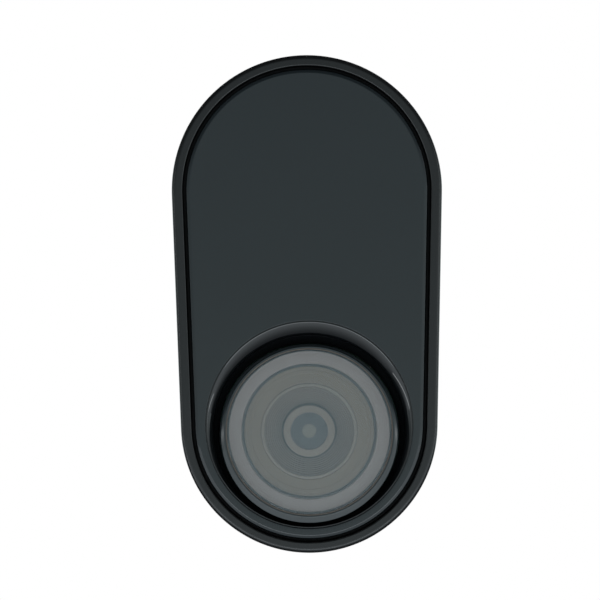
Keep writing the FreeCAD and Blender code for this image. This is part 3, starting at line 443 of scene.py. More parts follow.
@dataclass(frozen=True)
class Outline:
    """Outline of the body: two arcs joined by their tangents."""

    top_radius: float = 30.0
    low_radius: float = 28.5
    top_height: float = 25.25
    low_height: float = -26.75

    @property
    def lean(self) -> float:
        """Angle by which the sides draw in towards the bottom."""
        return math.asin((self.top_radius - self.low_radius) / (self.top_height - self.low_height))

    @property
    def bottom(self) -> float:
        """Height of the lowest point."""
        return self.low_height - self.low_radius

    def half_width(self, height: float, inset: float = 0.0) -> float:
        """Half the width on the straight sides."""
        return ((self.top_radius - inset) / math.cos(self.lean)
                - (self.top_height - height) * math.tan(self.lean))

    def loop(self, inset: float, depth: float, count: int = 96) -> Loop:
        """Points of the outline moved in by inset, in metres."""
        arcs = ((self.top_height, self.top_radius, -self.lean, math.pi + 2 * self.lean),
                (self.low_height, self.low_radius, math.pi + self.lean, math.pi - 2 * self.lean))
        return [Vector(((radius - inset) * math.cos(start + span * i / (count - 1)), -depth,
                        height + (radius - inset) * math.sin(start + span * i / (count - 1)))) * MM
                for height, radius, start, span in arcs for i in range(count)]

    def plate(self, name: str, inset: float, back: float, front: float,
              rounding: float) -> Piece:
        """Solid plate of the outline between two depths, with rounded edges."""
        border = inset + 2 * rounding + 0.4
        corners = [(border, back), (inset, back, rounding),
                   (inset, front, rounding), (border, front)]
        loops = [self.loop(p.x, p.y) for p in softened(corners, closed=False)]
        return skin(name, loops, closed=False, capped=True)

    def ring(self, name: str, corners: Section, steps: int = 6) -> Piece:
        """Ring whose section follows the outline; across is an inset."""
        points = softened(corners, True, steps)
        bm = bmesh.new()
        verts = [bm.verts.new(Vector((-p.x, -p.y, 0)) * MM) for p in points]
        for i, vert in enumerate(verts):
            bm.edges.new((vert, verts[(i + 1) % len(verts)]))
        mesh = bpy.data.meshes.new(name)
        bm.to_mesh(mesh)
        bm.free()
        return grow(place_object(name, mesh), "swept_outline",
                    {"Top Radius": self.top_radius * MM, "Low Radius": self.low_radius * MM,
                     "Top Height": self.top_height * MM, "Low Height": self.low_height * MM,
                     "Arc Points": ARC_POINTS})


OUTLINE = Outline()


# ---- surface effects ------------------------------------------------------------------------
class Effects:
    """Shader node groups that the finishes share, each built once."""

    _made: dict[str, Tree] = {}

    @classmethod
    def use(cls, graph: Graph, name: str, **inputs: object) -> Socket:
        """Place an effect in a material with its own values and return its output."""
        if name not in cls._made:
            cls._made[name] = getattr(cls, name)()
        values = {key.title(): value for key, value in inputs.items()}
        return graph.add("ShaderNodeGroup", values, node_tree=cls._made[name]).outputs[0]

    @staticmethod
    def _noise(g: Graph, scale: object, detail: float = 3.0) -> Socket:
        """Noise over the object's own coordinates."""
        place = g.add("ShaderNodeTexCoord").outputs["Object"]
        return g.add("ShaderNodeTexNoise", {"Vector": place, "Scale": scale, "Detail": detail,
                                            "Roughness": 0.55}).outputs["Fac"]

    @staticmethod
    def clouding() -> Tree:
        """Colour that drifts a little lighter and darker."""
        g, sizes = new_group(
            "Clouding", "ShaderNodeTree",
            {"Colour": ("NodeSocketColor", (0.5, 0.5, 0.5, 1)), "Spread": (FLOAT, 0.1),
             "Scale": (FLOAT, 200.0)}, {"Colour": "NodeSocketColor"})
        drift = g.math("SUBTRACT", Effects._noise(g, sizes["Scale"]), 0.5)
        gain = g.math("MULTIPLY_ADD", drift, g.math("MULTIPLY", sizes["Spread"], 4.0), 1.0)
        tinted = g.add("ShaderNodeVectorMath", {0: sizes["Colour"], "Scale": gain},
                       operation="SCALE")
        return g.done(tinted.outputs[0])

    @staticmethod
    def handling() -> Tree:
        """Roughness with faint wipe marks and finger smears."""
        g, sizes = new_group(
            "Handling", "ShaderNodeTree",
            {"Roughness": (FLOAT, 0.3), "Spread": (FLOAT, 0.05),
             "Scale": (FLOAT, 90.0)}, {"Roughness": FLOAT})
        smear = Effects._noise(g, sizes["Scale"], 2.0)
        speck = Effects._noise(g, g.math("MULTIPLY", sizes["Scale"], 23.0), 1.0)
        both = g.math("MULTIPLY_ADD", speck, 0.35, g.math("MULTIPLY", smear, 0.65))
        drift = g.math("MULTIPLY", g.math("SUBTRACT", both, 0.5), 4.0)
        value = g.math("MULTIPLY_ADD", drift, sizes["Spread"], sizes["Roughness"])
        return g.done(g.math("MAXIMUM", value, 0.02))

    @staticmethod
    def grain() -> Tree:
        """Fine relief of a moulded or cast surface."""
        g, sizes = new_group(
            "Grain", "ShaderNodeTree",
            {"Scale": (FLOAT, 9000.0), "Relief": (FLOAT, 2e-6)},
            {"Normal": "NodeSocketVector"})
        height = Effects._noise(g, sizes["Scale"], 2.0)
        bump = g.add("ShaderNodeBump", {"Height": height, "Distance": sizes["Relief"],
                                        "Strength": 1.0})
        return g.done(bump.outputs[0])

    @staticmethod
    def tool_marks() -> Tree:
        """Fine circular marks about a depth axis at a given x and height."""
        g, sizes = new_group(
            "Tool Marks", "ShaderNodeTree",
            {"Across": (FLOAT, 0.0), "Height": (FLOAT, 0.0),
             "Scale": (FLOAT, 6000.0), "Relief": (FLOAT, 2e-6)},
            {"Normal": "NodeSocketVector"})
        place = g.add("ShaderNodeTexCoord").outputs["Object"]
        parts = g.add("ShaderNodeSeparateXYZ", {0: place}).outputs
        side = g.math("SUBTRACT", g.math("ABSOLUTE", parts[0]), sizes["Across"])
        rise = g.math("SUBTRACT", parts[2], sizes["Height"])
        radius = g.math("SQRT", g.math("ADD", g.math("MULTIPLY", side, side),
                                       g.math("MULTIPLY", rise, rise)))
        ring = g.add("ShaderNodeCombineXYZ", {0: radius}).outputs[0]
        lines = g.add("ShaderNodeTexNoise", {"Vector": ring, "Scale": sizes["Scale"],
                                             "Detail": 2.0}).outputs["Fac"]
        bump = g.add("ShaderNodeBump", {"Height": lines, "Distance": sizes["Relief"]})
        return g.done(bump.outputs[0])

    @staticmethod
    def dust() -> Tree:
        """Mask of dust that has settled on faces that look up."""
        g, sizes = new_group(
            "Dust", "ShaderNodeTree",
            {"Amount": (FLOAT, 0.2), "Scale": (FLOAT, 700.0)},
            {"Mask": FLOAT})
        facing = g.add("ShaderNodeNewGeometry").outputs["Normal"]
        up = g.add("ShaderNodeSeparateXYZ", {0: facing}).outputs[2]
        lying = g.add("ShaderNodeMapRange", {"Value": up, "From Min": 0.25, "From Max": 0.95})
        patch = g.add("ShaderNodeMapRange", {"Value": Effects._noise(g, sizes["Scale"], 4.0),
                                             "From Min": 0.35, "From Max": 0.75})
        mask = g.math("MULTIPLY", lying.outputs[0], patch.outputs[0])
        return g.done(g.math("MULTIPLY", mask, sizes["Amount"]))

    @staticmethod
    def tracks() -> Tree:
        """Mask of printed tracks and pads on a circuit board."""
        g, sizes = new_group(
            "Tracks", "ShaderNodeTree", {"Scale": (FLOAT, 500.0)},
            {"Mask": FLOAT})
        place = g.add("ShaderNodeTexCoord").outputs["Object"]
        turned_up = g.add("ShaderNodeMapping", {"Vector": place, "Rotation": (math.pi / 2, 0, 0)})
        brick = g.add("ShaderNodeTexBrick", {"Vector": turned_up.outputs[0],
                                             "Scale": sizes["Scale"], "Mortar Size": 0.035,
                                             "Mortar Smooth": 0.1}).outputs["Fac"]
        spots = g.add("ShaderNodeTexVoronoi", {"Vector": place, "Scale": sizes["Scale"]})
        pads = g.math("LESS_THAN", spots.outputs["Distance"], 0.16)
        return g.done(g.math("MAXIMUM", brick, pads))


# ---- finishes -------------------------------------------------------------------------------
DUST_COLOUR = (0.3, 0.29, 0.27)
# Colour of the painted glow that lifts shade on the light ring; no lamp lights it.
PAINTED_GLOW_COLOUR = (1.0, 0.84, 0.77)


def start_material(name: str) -> tuple[bpy.types.Material, Graph, Node]:
    """New node material, its graph and its main shader."""
    material = bpy.data.materials.new(name)
    material.use_nodes = True
    graph = Graph(material.node_tree)
    shader = next(n for n in graph.tree.nodes if n.type == "BSDF_PRINCIPLED")
    return material, graph, shader


@dataclass(frozen=True)
class Moulded:
    """Moulded, cast or rubber surface; sizes in millimetres."""

    colour: Colour
    roughness: float
    spread: float = 0.06
    cloud: float = 6.0
    smears: float = 0.03
    grain: float = 0.12
    relief: float = 0.0012
    dust: float = 0.0
    specular: float = 0.5
    # glow paints light into the surface itself, where no lamp lights it.
    glow: float = 0.0

    def make(self, name: str) -> bpy.types.Material:
        """Build the material."""
        material, g, shader = start_material(name)
        base = Effects.use(g, "clouding", colour=(*self.colour, 1), spread=self.spread,
                           scale=1 / (self.cloud * MM))
        rough = Effects.use(g, "handling", roughness=self.roughness, spread=self.smears,
                            scale=1 / (4 * self.cloud * MM))
        if self.dust:
            mask = Effects.use(g, "dust", amount=self.dust)
            base = g.add("ShaderNodeMix", {"Factor": mask, 6: base, 7: (*DUST_COLOUR, 1)},
                         data_type="RGBA").outputs[2]
            rough = g.math("ADD", rough, mask)
        inputs = {"Base Color": base, "Roughness": rough, "Specular IOR Level": self.specular,
                  "Emission Color": (*PAINTED_GLOW_COLOUR, 1), "Emission Strength": self.glow}
        if self.relief:
            inputs["Normal"] = Effects.use(g, "grain", scale=1 / (self.grain * MM),
                                           relief=self.relief * MM)
        g.fill(shader, inputs)
        return material


@dataclass(frozen=True)
class Machined:
    """Metal with fine circular tool marks about an axis; sizes in millimetres."""

    colour: Colour
    roughness: float
    across: float = 0.0
    height: float = 0.0
    pitch: float = 0.15
    relief: float = 0.002

    def make(self, name: str) -> bpy.types.Material:
        """Build the material."""
        material, g, shader = start_material(name)
        base = Effects.use(g, "clouding", colour=(*self.colour, 1), spread=0.08, scale=350.0)
        rough = Effects.use(g, "handling", roughness=self.roughness, spread=0.06, scale=250.0)
        normal = Effects.use(g, "tool_marks", across=self.across * MM, height=self.height * MM,
                             scale=1 / (self.pitch * MM), relief=self.relief * MM)
        g.fill(shader, {"Base Color": base, "Roughness": rough, "Normal": normal,
                        "Metallic": 1.0})
        return material


@dataclass(frozen=True)
class Printed:
    """Circuit board: lacquer over copper tracks, with bare pads."""

    lacquer: Colour
    track: Colour

    def make(self, name: str) -> bpy.types.Material:
        """Build the material."""
        material, g, shader = start_material(name)
        mask = Effects.use(g, "tracks", scale=450.0)
        ground = Effects.use(g, "clouding", colour=(*self.lacquer, 1), spread=0.1, scale=900.0)
        base = g.add("ShaderNodeMix", {"Factor": mask, 6: ground, 7: (*self.track, 1)},
                     data_type="RGBA").outputs[2]
        rough = Effects.use(g, "handling", roughness=0.35, spread=0.08, scale=200.0)
        bump = g.add("ShaderNodeBump", {"Height": mask, "Distance": 2e-5, "Strength": 0.6})
        g.fill(shader, {"Base Color": base, "Roughness": rough, "Normal": bump.outputs[0]})
        return material


@dataclass(frozen=True)
class Clear:
    """Clear or hazy plastic or glass that lets what lies behind show through."""

    colour: Colour
    opacity: float
    roughness: float
    opacity_spread: float = 0.02
    ior: float = 1.49
    coat: float = 0.0

    def make(self, name: str) -> bpy.types.Material:
        """Build the material."""
        material, g, shader = start_material(name)
        base = Effects.use(g, "clouding", colour=(*self.colour, 1), spread=0.03, scale=160.0)
        rough = Effects.use(g, "handling", roughness=self.roughness, spread=0.03, scale=120.0)
        haze = Effects.use(g, "handling", roughness=self.opacity, spread=self.opacity_spread,
                           scale=70.0)
        g.fill(shader, {"Base Color": base, "Roughness": rough, "Alpha": haze, "IOR": self.ior,
                        "Coat Weight": self.coat, "Coat Roughness": 0.02})
        return material


FINISHES: dict[str, object] = {
    "satin_black_plastic": Moulded((0.0012, 0.0015, 0.0018), 0.24, dust=0.1, specular=0.46),
    "bracket_plastic": Moulded((0.012, 0.0125, 0.013), 0.45, grain=0.25, relief=0.006),
    "black_rubber": Moulded((0.0025, 0.0025, 0.0028), 0.7, grain=0.2, relief=0.01, specular=0.15),
    "blackened_steel": Machined((0.07, 0.07, 0.075), 0.35),
    "nickel_steel": Machined((0.56, 0.54, 0.5), 0.28, TERMINAL_X, TERMINAL_Z),
    "brass_insert": Machined((0.7, 0.5, 0.22), 0.3, TERMINAL_X, TERMINAL_Z),
    "inner_plastic": Moulded((0.02, 0.021, 0.022), 0.5),
    "bond_film": Moulded((0.1, 0.095, 0.08), 0.5, grain=0.3, relief=0.01),
    "slate_gloss": Moulded((0.0085, 0.0125, 0.0145), 0.05, spread=0.02, smears=0.01,
                           relief=0.0),
    "piano_black": Moulded((0.003, 0.0035, 0.004), 0.035, spread=0.02, smears=0.008, relief=0.0),
    "slate_key": Moulded((0.016, 0.022, 0.024), 0.16, grain=0.1, relief=0.0006),
    "hazy_clear": Clear((0.19, 0.225, 0.235), 0.33, 0.08),
    "bond_line": Moulded((0.075, 0.058, 0.046), 0.4, grain=0.3, relief=0.002),
    # The diffuser's glow is painted light: it lifts the shade that the key's wall casts on the
    # light ring.
    "milky_diffuser": Moulded((0.24, 0.2, 0.185), 0.4, relief=0.0003, glow=0.11),
    "grey_silicone": Moulded((0.2, 0.2, 0.2), 0.55),
    "switch_plastic": Moulded((0.03, 0.03, 0.03), 0.4),
    "plunger_plastic": Moulded((0.5, 0.5, 0.46), 0.4),
    "board_white": Printed((0.55, 0.56, 0.54), (0.42, 0.43, 0.4)),
    "board_black": Printed((0.012, 0.013, 0.014), (0.03, 0.032, 0.03)),
    "board_green": Printed((0.01, 0.09, 0.035), (0.02, 0.16, 0.06)),
    "led_body": Moulded((0.95, 0.8, 0.5), 0.3, relief=0.0003),
    "olive_filter": Moulded((0.37, 0.27, 0.18), 0.25, spread=0.03, relief=0.0003),
    "hood_grey": Moulded((0.27, 0.2, 0.15), 0.45, grain=0.15, relief=0.0005),
    "trim_pale": Moulded((0.48, 0.38, 0.3), 0.3, spread=0.03, relief=0.0003),
    "coated_glass": Clear((0.26, 0.3, 0.33), 0.28, 0.03, 0.01, 1.6, 0.6),
    "stop_black": Moulded((0.11, 0.1, 0.1), 0.6, relief=0.0004),
    "chip_black": Moulded((0.015, 0.015, 0.016), 0.45, grain=0.08, relief=0.003),
    "flex_amber": Moulded((0.45, 0.2, 0.03), 0.35),
    "connector_ivory": Moulded((0.65, 0.6, 0.48), 0.4),
    "tin_shield": Machined((0.6, 0.6, 0.58), 0.35),
    "battery_wrap": Moulded((0.05, 0.09, 0.16), 0.4),
    "grey_foam": Moulded((0.12, 0.12, 0.12), 0.8, grain=0.4, relief=0.05),
    "speaker_cone": Moulded((0.03, 0.03, 0.032), 0.7, grain=0.3, relief=0.02),
    "key_plastic": Moulded((0.008, 0.009, 0.0095), 0.3),
}


class Finisher:
    """Makes each slot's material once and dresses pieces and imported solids."""

    def __init__(self) -> None:
        """Start with no materials made."""
        self.made: dict[str, bpy.types.Material] = {}

    def material(self, slot: str) -> bpy.types.Material:
        """Material for a slot of the record."""
        if slot not in self.made:
            self.made[slot] = FINISHES[slot].make(slot)
        return self.made[slot]

    def settle(self, piece: Piece, slot: str, *replaces: str, body: Body = Body.FIXED,
               weighted: bool = False) -> None:
        """Finish a piece: shading, material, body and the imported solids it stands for.

        Args:
            piece: the piece, at the origin.
            slot: the record's material slot.
            *replaces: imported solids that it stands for.
            body: the body it rides on.
            weighted: whether large flat faces keep flat shading up to their edges.
        """
        mesh = piece.data
        mesh.shade_smooth()
        mesh.set_sharp_from_angle(angle=math.radians(SMOOTH_DEGREES))
        if weighted:
            modifier = piece.modifiers.new("flats", "WEIGHTED_NORMAL")
            modifier.keep_sharp = True
            bake(piece)
            mesh = piece.data
        mesh.materials.clear()
        mesh.materials.append(self.material(slot))
        for face in mesh.polygons:
            face.material_index = 0
        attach(piece, body.value)
        if replaces:
            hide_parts(*replaces)
        log.info("%s: %d faces, %s, on %s", piece.name, len(mesh.polygons), slot, body.value)

    def dress_solids(self) -> None:
        """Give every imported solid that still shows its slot's material."""
        for name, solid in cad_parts.items():
            for holder in solid.material_slots:
                holder.material = self.material(holder.material.name.split(".")[0])
            log.info("packed solid %s dressed", name)


FINISHER = Finisher()


# ---- sub-assemblies -------------------------------------------------------------------------
@dataclass(frozen=True)
class Shell:
    """Housing: a deep wall round the outline, its back wall and the openings in them."""

    depth: float = 27.0
    wall: float = 2.4
    skirt: float = 0.8
    outer_round: float = 1.1
    rear_round: float = 0.8
    back_floor: float = 5.2
    back_wall: float = 1.8
    tuck: float = 0.3
    key_height: float = 5.7
    key_depth: float = 15.6
    key_slot: tuple[float, float] = (3.5, 9.8)
    sound_depth: float = 9.2
    sound_slot: tuple[float, float] = (1.1, 2.0)
    slot_count: int = 5
    slot_pitch: float = 2.0
    mic_x: float = 9.0
    mic_radius: float = 0.6
    lock_depth: float = 3.2
    lock_radius: float = 2.25
    slot_reach: float = 5.0
    sound_span: tuple[float, float] = (-3.0, 4.0)
    cutter: float = 6.0
    end_steps: int = 12
    hook: tuple[float, float, float] = (10.0, 37.0, 1.6)
    hook_half_width: float = 2.0
    hook_face: float = 0.5
    hook_lip: float = 1.4
    rib: tuple[float, float] = (15.5, 16.7)
    rib_span: tuple[float, float] = (-30.0, 24.0)
    rib_rise: float = 0.5
    root: float = 0.4

    def build(self) -> None:
        """Make the wall and the back wall."""
        self.make_wall()
        self.make_back()

    def make_wall(self) -> None:
        """Swept wall with its rolled rim, the side key's slot and the openings below."""
        wall = OUTLINE.ring("shell_wall", [
            (0, self.skirt, self.rear_round), (0, self.depth, self.outer_round),
            (self.wall, self.depth, 0.3), (self.wall, self.skirt, 0.15)], 8)
        width, tall = self.key_slot
        side = OUTLINE.half_width(self.key_height)
        slot = block("slot_tool", (side - self.slot_reach, self.key_depth - width / 2,
                                   self.key_height - tall / 2),
                     (side + self.slot_reach, self.key_depth + width / 2,
                      self.key_height + tall / 2))
        carve(wall, Carve.CUT, slot, self.sound_tool(),
              self.upright_tool(self.mic_radius, self.mic_x, self.sound_depth),
              self.upright_tool(self.lock_radius, 0.0, self.lock_depth))
        FINISHER.settle(wall, "satin_black_plastic", "housing", weighted=True)

    def upright_tool(self, radius: float, x: float, depth: float) -> Piece:
        """Upright round cutter through the bottom of the wall."""
        tall = self.cutter
        low = OUTLINE.bottom - tall / 2
        tool = turned("round_tool", [
            (0, 0), (radius, 0), (radius, tall), (0, tall)], 0.0, count=48)
        stand = Matrix.Translation(Vector((x, -depth, low)) * MM) @ Matrix.Rotation(
            -math.pi / 2, 4, "X")
        tool.data.transform(stand)
        return tool

    def sound_tool(self) -> Piece:
        """Row of upright round-ended cutters for the sound slots."""
        wide, deep = self.sound_slot
        reach = (deep - wide) / 2
        bm = bmesh.new()
        rows = []
        for up in (OUTLINE.bottom + end for end in self.sound_span):
            row = []
            for way, start in ((1, -math.pi / 2), (-1, math.pi / 2)):
                for i in range(self.end_steps + 1):
                    turn = start + math.pi * i / self.end_steps
                    y = -self.sound_depth + way * reach + wide / 2 * math.cos(turn)
                    x = wide / 2 * math.sin(turn)
                    row.append(bm.verts.new(Vector((x, y, up)) * MM))
            rows.append(row)
        for i, vert in enumerate(rows[0]):
            j = (i + 1) % len(rows[0])
            bm.faces.new((vert, rows[0][j], rows[1][j], rows[1][i]))
        bm.faces.new(rows[0])
        bm.faces.new(reversed(rows[1]))
        return grow(to_object("sound_tool", bm), "row_of_copies",
                    {"Count": self.slot_count, "Pitch": (self.slot_pitch * MM, 0.0, 0.0)})

    def make_back(self) -> None:
        """Back wall with the hooks that hang on the bracket."""
        back = OUTLINE.plate("shell_back", self.wall - self.tuck, self.back_floor,
                             self.back_floor + self.back_wall, 0.1)
        x, z, thick = self.hook
        near, far = self.rib
        low, high = self.rib_span
        root = self.back_floor + self.root
        for side in (-1, 1):
            left, right = side * x - self.hook_half_width, side * x + self.hook_half_width
            stem = block("hook", (left, self.hook_face, z), (right, root, z + thick), 0.2)
            lip = block("hook_lip", (left, self.hook_face, z - thick),
                        (right, self.hook_lip, z + thick / 2), 0.2)
            carve(back, Carve.JOIN, carve(stem, Carve.JOIN, lip))
            rib = block("back_rib", (side * near, self.back_floor - self.rib_rise, low),
                        (side * far, root, high), 0.15)
            carve(back, Carve.JOIN, rib)
        FINISHER.settle(back, "satin_black_plastic", weighted=True)


@dataclass(frozen=True)
class Front:
    """Front plate with its bevelled edge and dish hole, and the gasket in the groove."""

    wall: float = 2.4
    groove: float = 0.85
    back: float = 24.8
    top: float = 26.8
    bevel: float = 0.65
    bevel_fall: float = 0.3
    border: float = 2.4
    hole_radius: float = 23.05
    hole_round: float = 0.15
    gasket_top: float = 25.2
    gasket_height: float = 1.4

    def build(self) -> None:
        """Make the plate and the gasket."""
        edge = self.wall + self.groove
        border = edge + self.border
        corners = [(border, self.back), (edge, self.back, 0.1),
                   (edge, self.top - self.bevel_fall, 0.2),
                   (edge + self.bevel, self.top, 0.6), (border, self.top)]
        loops = [OUTLINE.loop(p.x, p.y, 128) for p in softened(corners, False, 5)]
        plate = skin("front_plate_gloss", loops, closed=False, capped=True)
        rise = self.hole_round
        arc = [(self.hole_radius + rise * (1 - math.cos(turn)),
                self.top - rise * (1 - math.sin(turn)))
               for turn in (math.pi / 2 * k / 4 for k in range(5))]
        tool = turned("dish_tool", [
            (0, self.back - 1), (self.hole_radius, self.back - 1), *arc,
            (self.hole_radius + rise, self.top + 1), (0, self.top + 1)], OUTLINE.low_height,
            count=256)
        carve(plate, Carve.CUT, tool)
        FINISHER.settle(plate, "slate_gloss", "front_plate", weighted=True)
        low = self.gasket_top - self.gasket_height
        gasket = OUTLINE.ring("groove_gasket", [
            (self.wall, low), (self.wall, self.gasket_top, 0.3), (edge, self.gasket_top, 0.3),
            (edge, low)])
        FINISHER.settle(gasket, "black_rubber", "plate_gasket")


@dataclass(frozen=True)
class Dish:
    """Glossy dish: its wall rolls over from the lip, and its floor lies lower than its mouth."""

    lip_radius: float = 22.93
    mouth_radius: float = 22.73
    floor_radius: float = 21.23
    flange_radius: float = 24.2
    top: float = 26.75
    floor: float = 23.4
    plate_back: float = 24.8
    seat: float = 22.6
    shift: float = 1.45
    guide_radius: float = 20.13
    guide_wall: float = 1.05
    guide_end: float = 17.0
    guide_axis: float = -2.05
    moat_floor: float = 22.75
    tilts: tuple[tuple[float, float], ...] = ((0.0, 13.0), (0.1, 21.0), (0.85, 37.0))
    steepness: float = 0.88
    last_turn: float = 35.0
    steps: int = 26

    def profile(self) -> list[tuple[float, float]]:
        """Points of the wall as shares of its run inwards and of its fall, from lip to floor."""
        points = [(0.0, 0.0)]
        for (start, tilt), (end, next_tilt) in zip(self.tilts, self.tilts[1:]):
            for i in range(self.steps // 2):
                slope = tilt + (next_tilt - tilt) * (i + 0.5) / (self.steps // 2)
                run = (end - start) / (self.steps // 2)
                inward, down = points[-1]
                points.append((inward + run, down + self.steepness * run
                               * math.tan(math.radians(slope))))
        inward, down = points[-1]
        first = math.radians(self.last_turn)
        for i in range(1, self.steps // 2 + 1):
            turn = first + (math.pi / 2 * 0.985 - first) * i / (self.steps // 2)
            points.append((inward + (1 - inward) * (math.sin(turn) - math.sin(first))
                           / (1 - math.sin(first)),
                           down + (1 - down) * (1 - math.cos(turn) / math.cos(first))))
        return points

    def build(self) -> None:
        """Make the dish."""
        wall: list[tuple[float, ...]] = []
        for inward, down in self.profile():
            wall.append((self.mouth_radius + (self.floor_radius - self.mouth_radius) * inward,
                         self.top - (self.top - self.floor) * down, 0.0, -self.shift * inward))
        outer = self.guide_radius + self.guide_wall
        corners = [
            (self.flange_radius, self.seat, 0.1),
            (self.flange_radius, self.plate_back, 0.1),
            (self.lip_radius, self.plate_back),
            (self.lip_radius, self.top, 0.12),
            *wall,
            (self.floor_radius, self.floor, 0.12, -self.shift),
            (self.guide_radius, self.moat_floor, 0.1, self.guide_axis),
            (self.guide_radius, self.guide_end, 0.1, self.guide_axis),
            (outer, self.guide_end, 0.1, self.guide_axis),
            (outer, self.seat, 0.0, self.guide_axis)]
        dish = turned("dish_gloss", corners, OUTLINE.low_height, count=224)
        FINISHER.settle(dish, "piano_black", "dish_bezel")


@dataclass(frozen=True)
class BellPush:
    """Moving key: ring with a leaning shoulder, domed hazy cap, bond line and light ring."""

    skirt_radius: float = 19.88
    skirt_axis: float = -0.4
    skirt_end: float = 16.5
    shoulder_radius: float = 18.93
    shoulder_middle: float = 19.6
    middle_axis: float = -0.63
    shoulder_side: float = 25.4
    shoulder_edge: float = 25.9
    shoulder_base: float = 24.4
    shoulder_top: float = 26.3
    cap_radius: float = 18.33
    bond: float = 0.25
    edge_top: float = 26.35
    crown: float = 26.9
    step_inset: float = 1.4
    step: float = 0.5
    light_radius: float = 17.88
    light_bore: float = 15.12
    light_thick: float = 1.4
    light_drop: float = 0.06
    light_gap: float = 0.05
    bond_drop: float = 0.1
    bore: float = 17.18
    dome_steps: int = 24
    hollow_steps: int = 16

    def build(self) -> None:
        """Make the ring, the cap, the bond line and the light ring."""
        self.make_ring()
        self.make_cap()
        seat, top = self.shoulder_base, self.edge_top - self.bond_drop
        bond = turned("bond_line", [
            (self.cap_radius, seat), (self.cap_radius, top, 0.05),
            (self.cap_radius + self.bond, top, 0.05), (self.cap_radius + self.bond, seat)],
            steps=3)
        FINISHER.settle(bond, "bond_line", "window_bond", body=Body.PUSH)
        back = seat - self.light_thick
        light = turned("light_ring_milky", [
            (self.light_bore, back), (self.light_bore, seat - self.light_drop, 0.25),
            (self.light_radius, seat - self.light_drop, 0.1), (self.light_radius, back)])
        FINISHER.settle(light, "milky_diffuser", "light_ring", body=Body.PUSH)

    def make_ring(self) -> None:
        """Round key with a straight skirt, a leaning shoulder and a rolled inner edge."""
        hole = self.cap_radius + self.bond
        ledge = self.light_radius + self.light_gap
        light_seat = self.shoulder_base - self.light_thick
        ring = turned("push_key", [
            (self.skirt_radius, self.skirt_end, 0.1, self.skirt_axis),
            (self.skirt_radius, self.shoulder_side, 0.2, self.skirt_axis),
            (self.shoulder_middle, self.shoulder_edge, 0.1, self.middle_axis),
            (self.shoulder_radius, self.shoulder_top, 0.14), (hole, self.shoulder_top, 0.12),
            (hole, self.shoulder_base), (ledge, self.shoulder_base), (ledge, light_seat),
            (self.bore, light_seat), (self.bore, self.skirt_end, 0.1)], count=224)
        FINISHER.settle(ring, "slate_key", "push_ring", body=Body.PUSH)

    def make_cap(self) -> None:
        """Domed cap, thinner inside its stepped edge."""
        rise = self.crown - self.edge_top
        dome = (self.cap_radius ** 2 + rise ** 2) / (2 * rise)
        centre = self.crown - dome
        hollow = dome - (self.edge_top - self.shoulder_base) + self.step
        inner = self.cap_radius - self.step_inset

        def surface(radius: float, sphere: float) -> float:
            """Depth of a sphere's face at a radius from the axis."""
            return centre + math.sqrt(sphere ** 2 - radius ** 2)

        front = [(r, surface(r, dome)) for r in (
            self.cap_radius * k / self.dome_steps for k in range(self.dome_steps - 1))]
        back = [(r, surface(r, hollow)) for r in (
            inner * k / self.hollow_steps for k in range(self.hollow_steps))]
        corners = [*front, (self.cap_radius, self.edge_top, 0.3),
                   (self.cap_radius, self.shoulder_base, 0.06),
                   (inner, self.shoulder_base, 0.08),
                   (inner, surface(inner, hollow), 0.12), *reversed(back)]
        cap = turned("push_cap", corners, count=192, steps=4)
        FINISHER.settle(cap, "hazy_clear", "push_window", body=Body.PUSH)


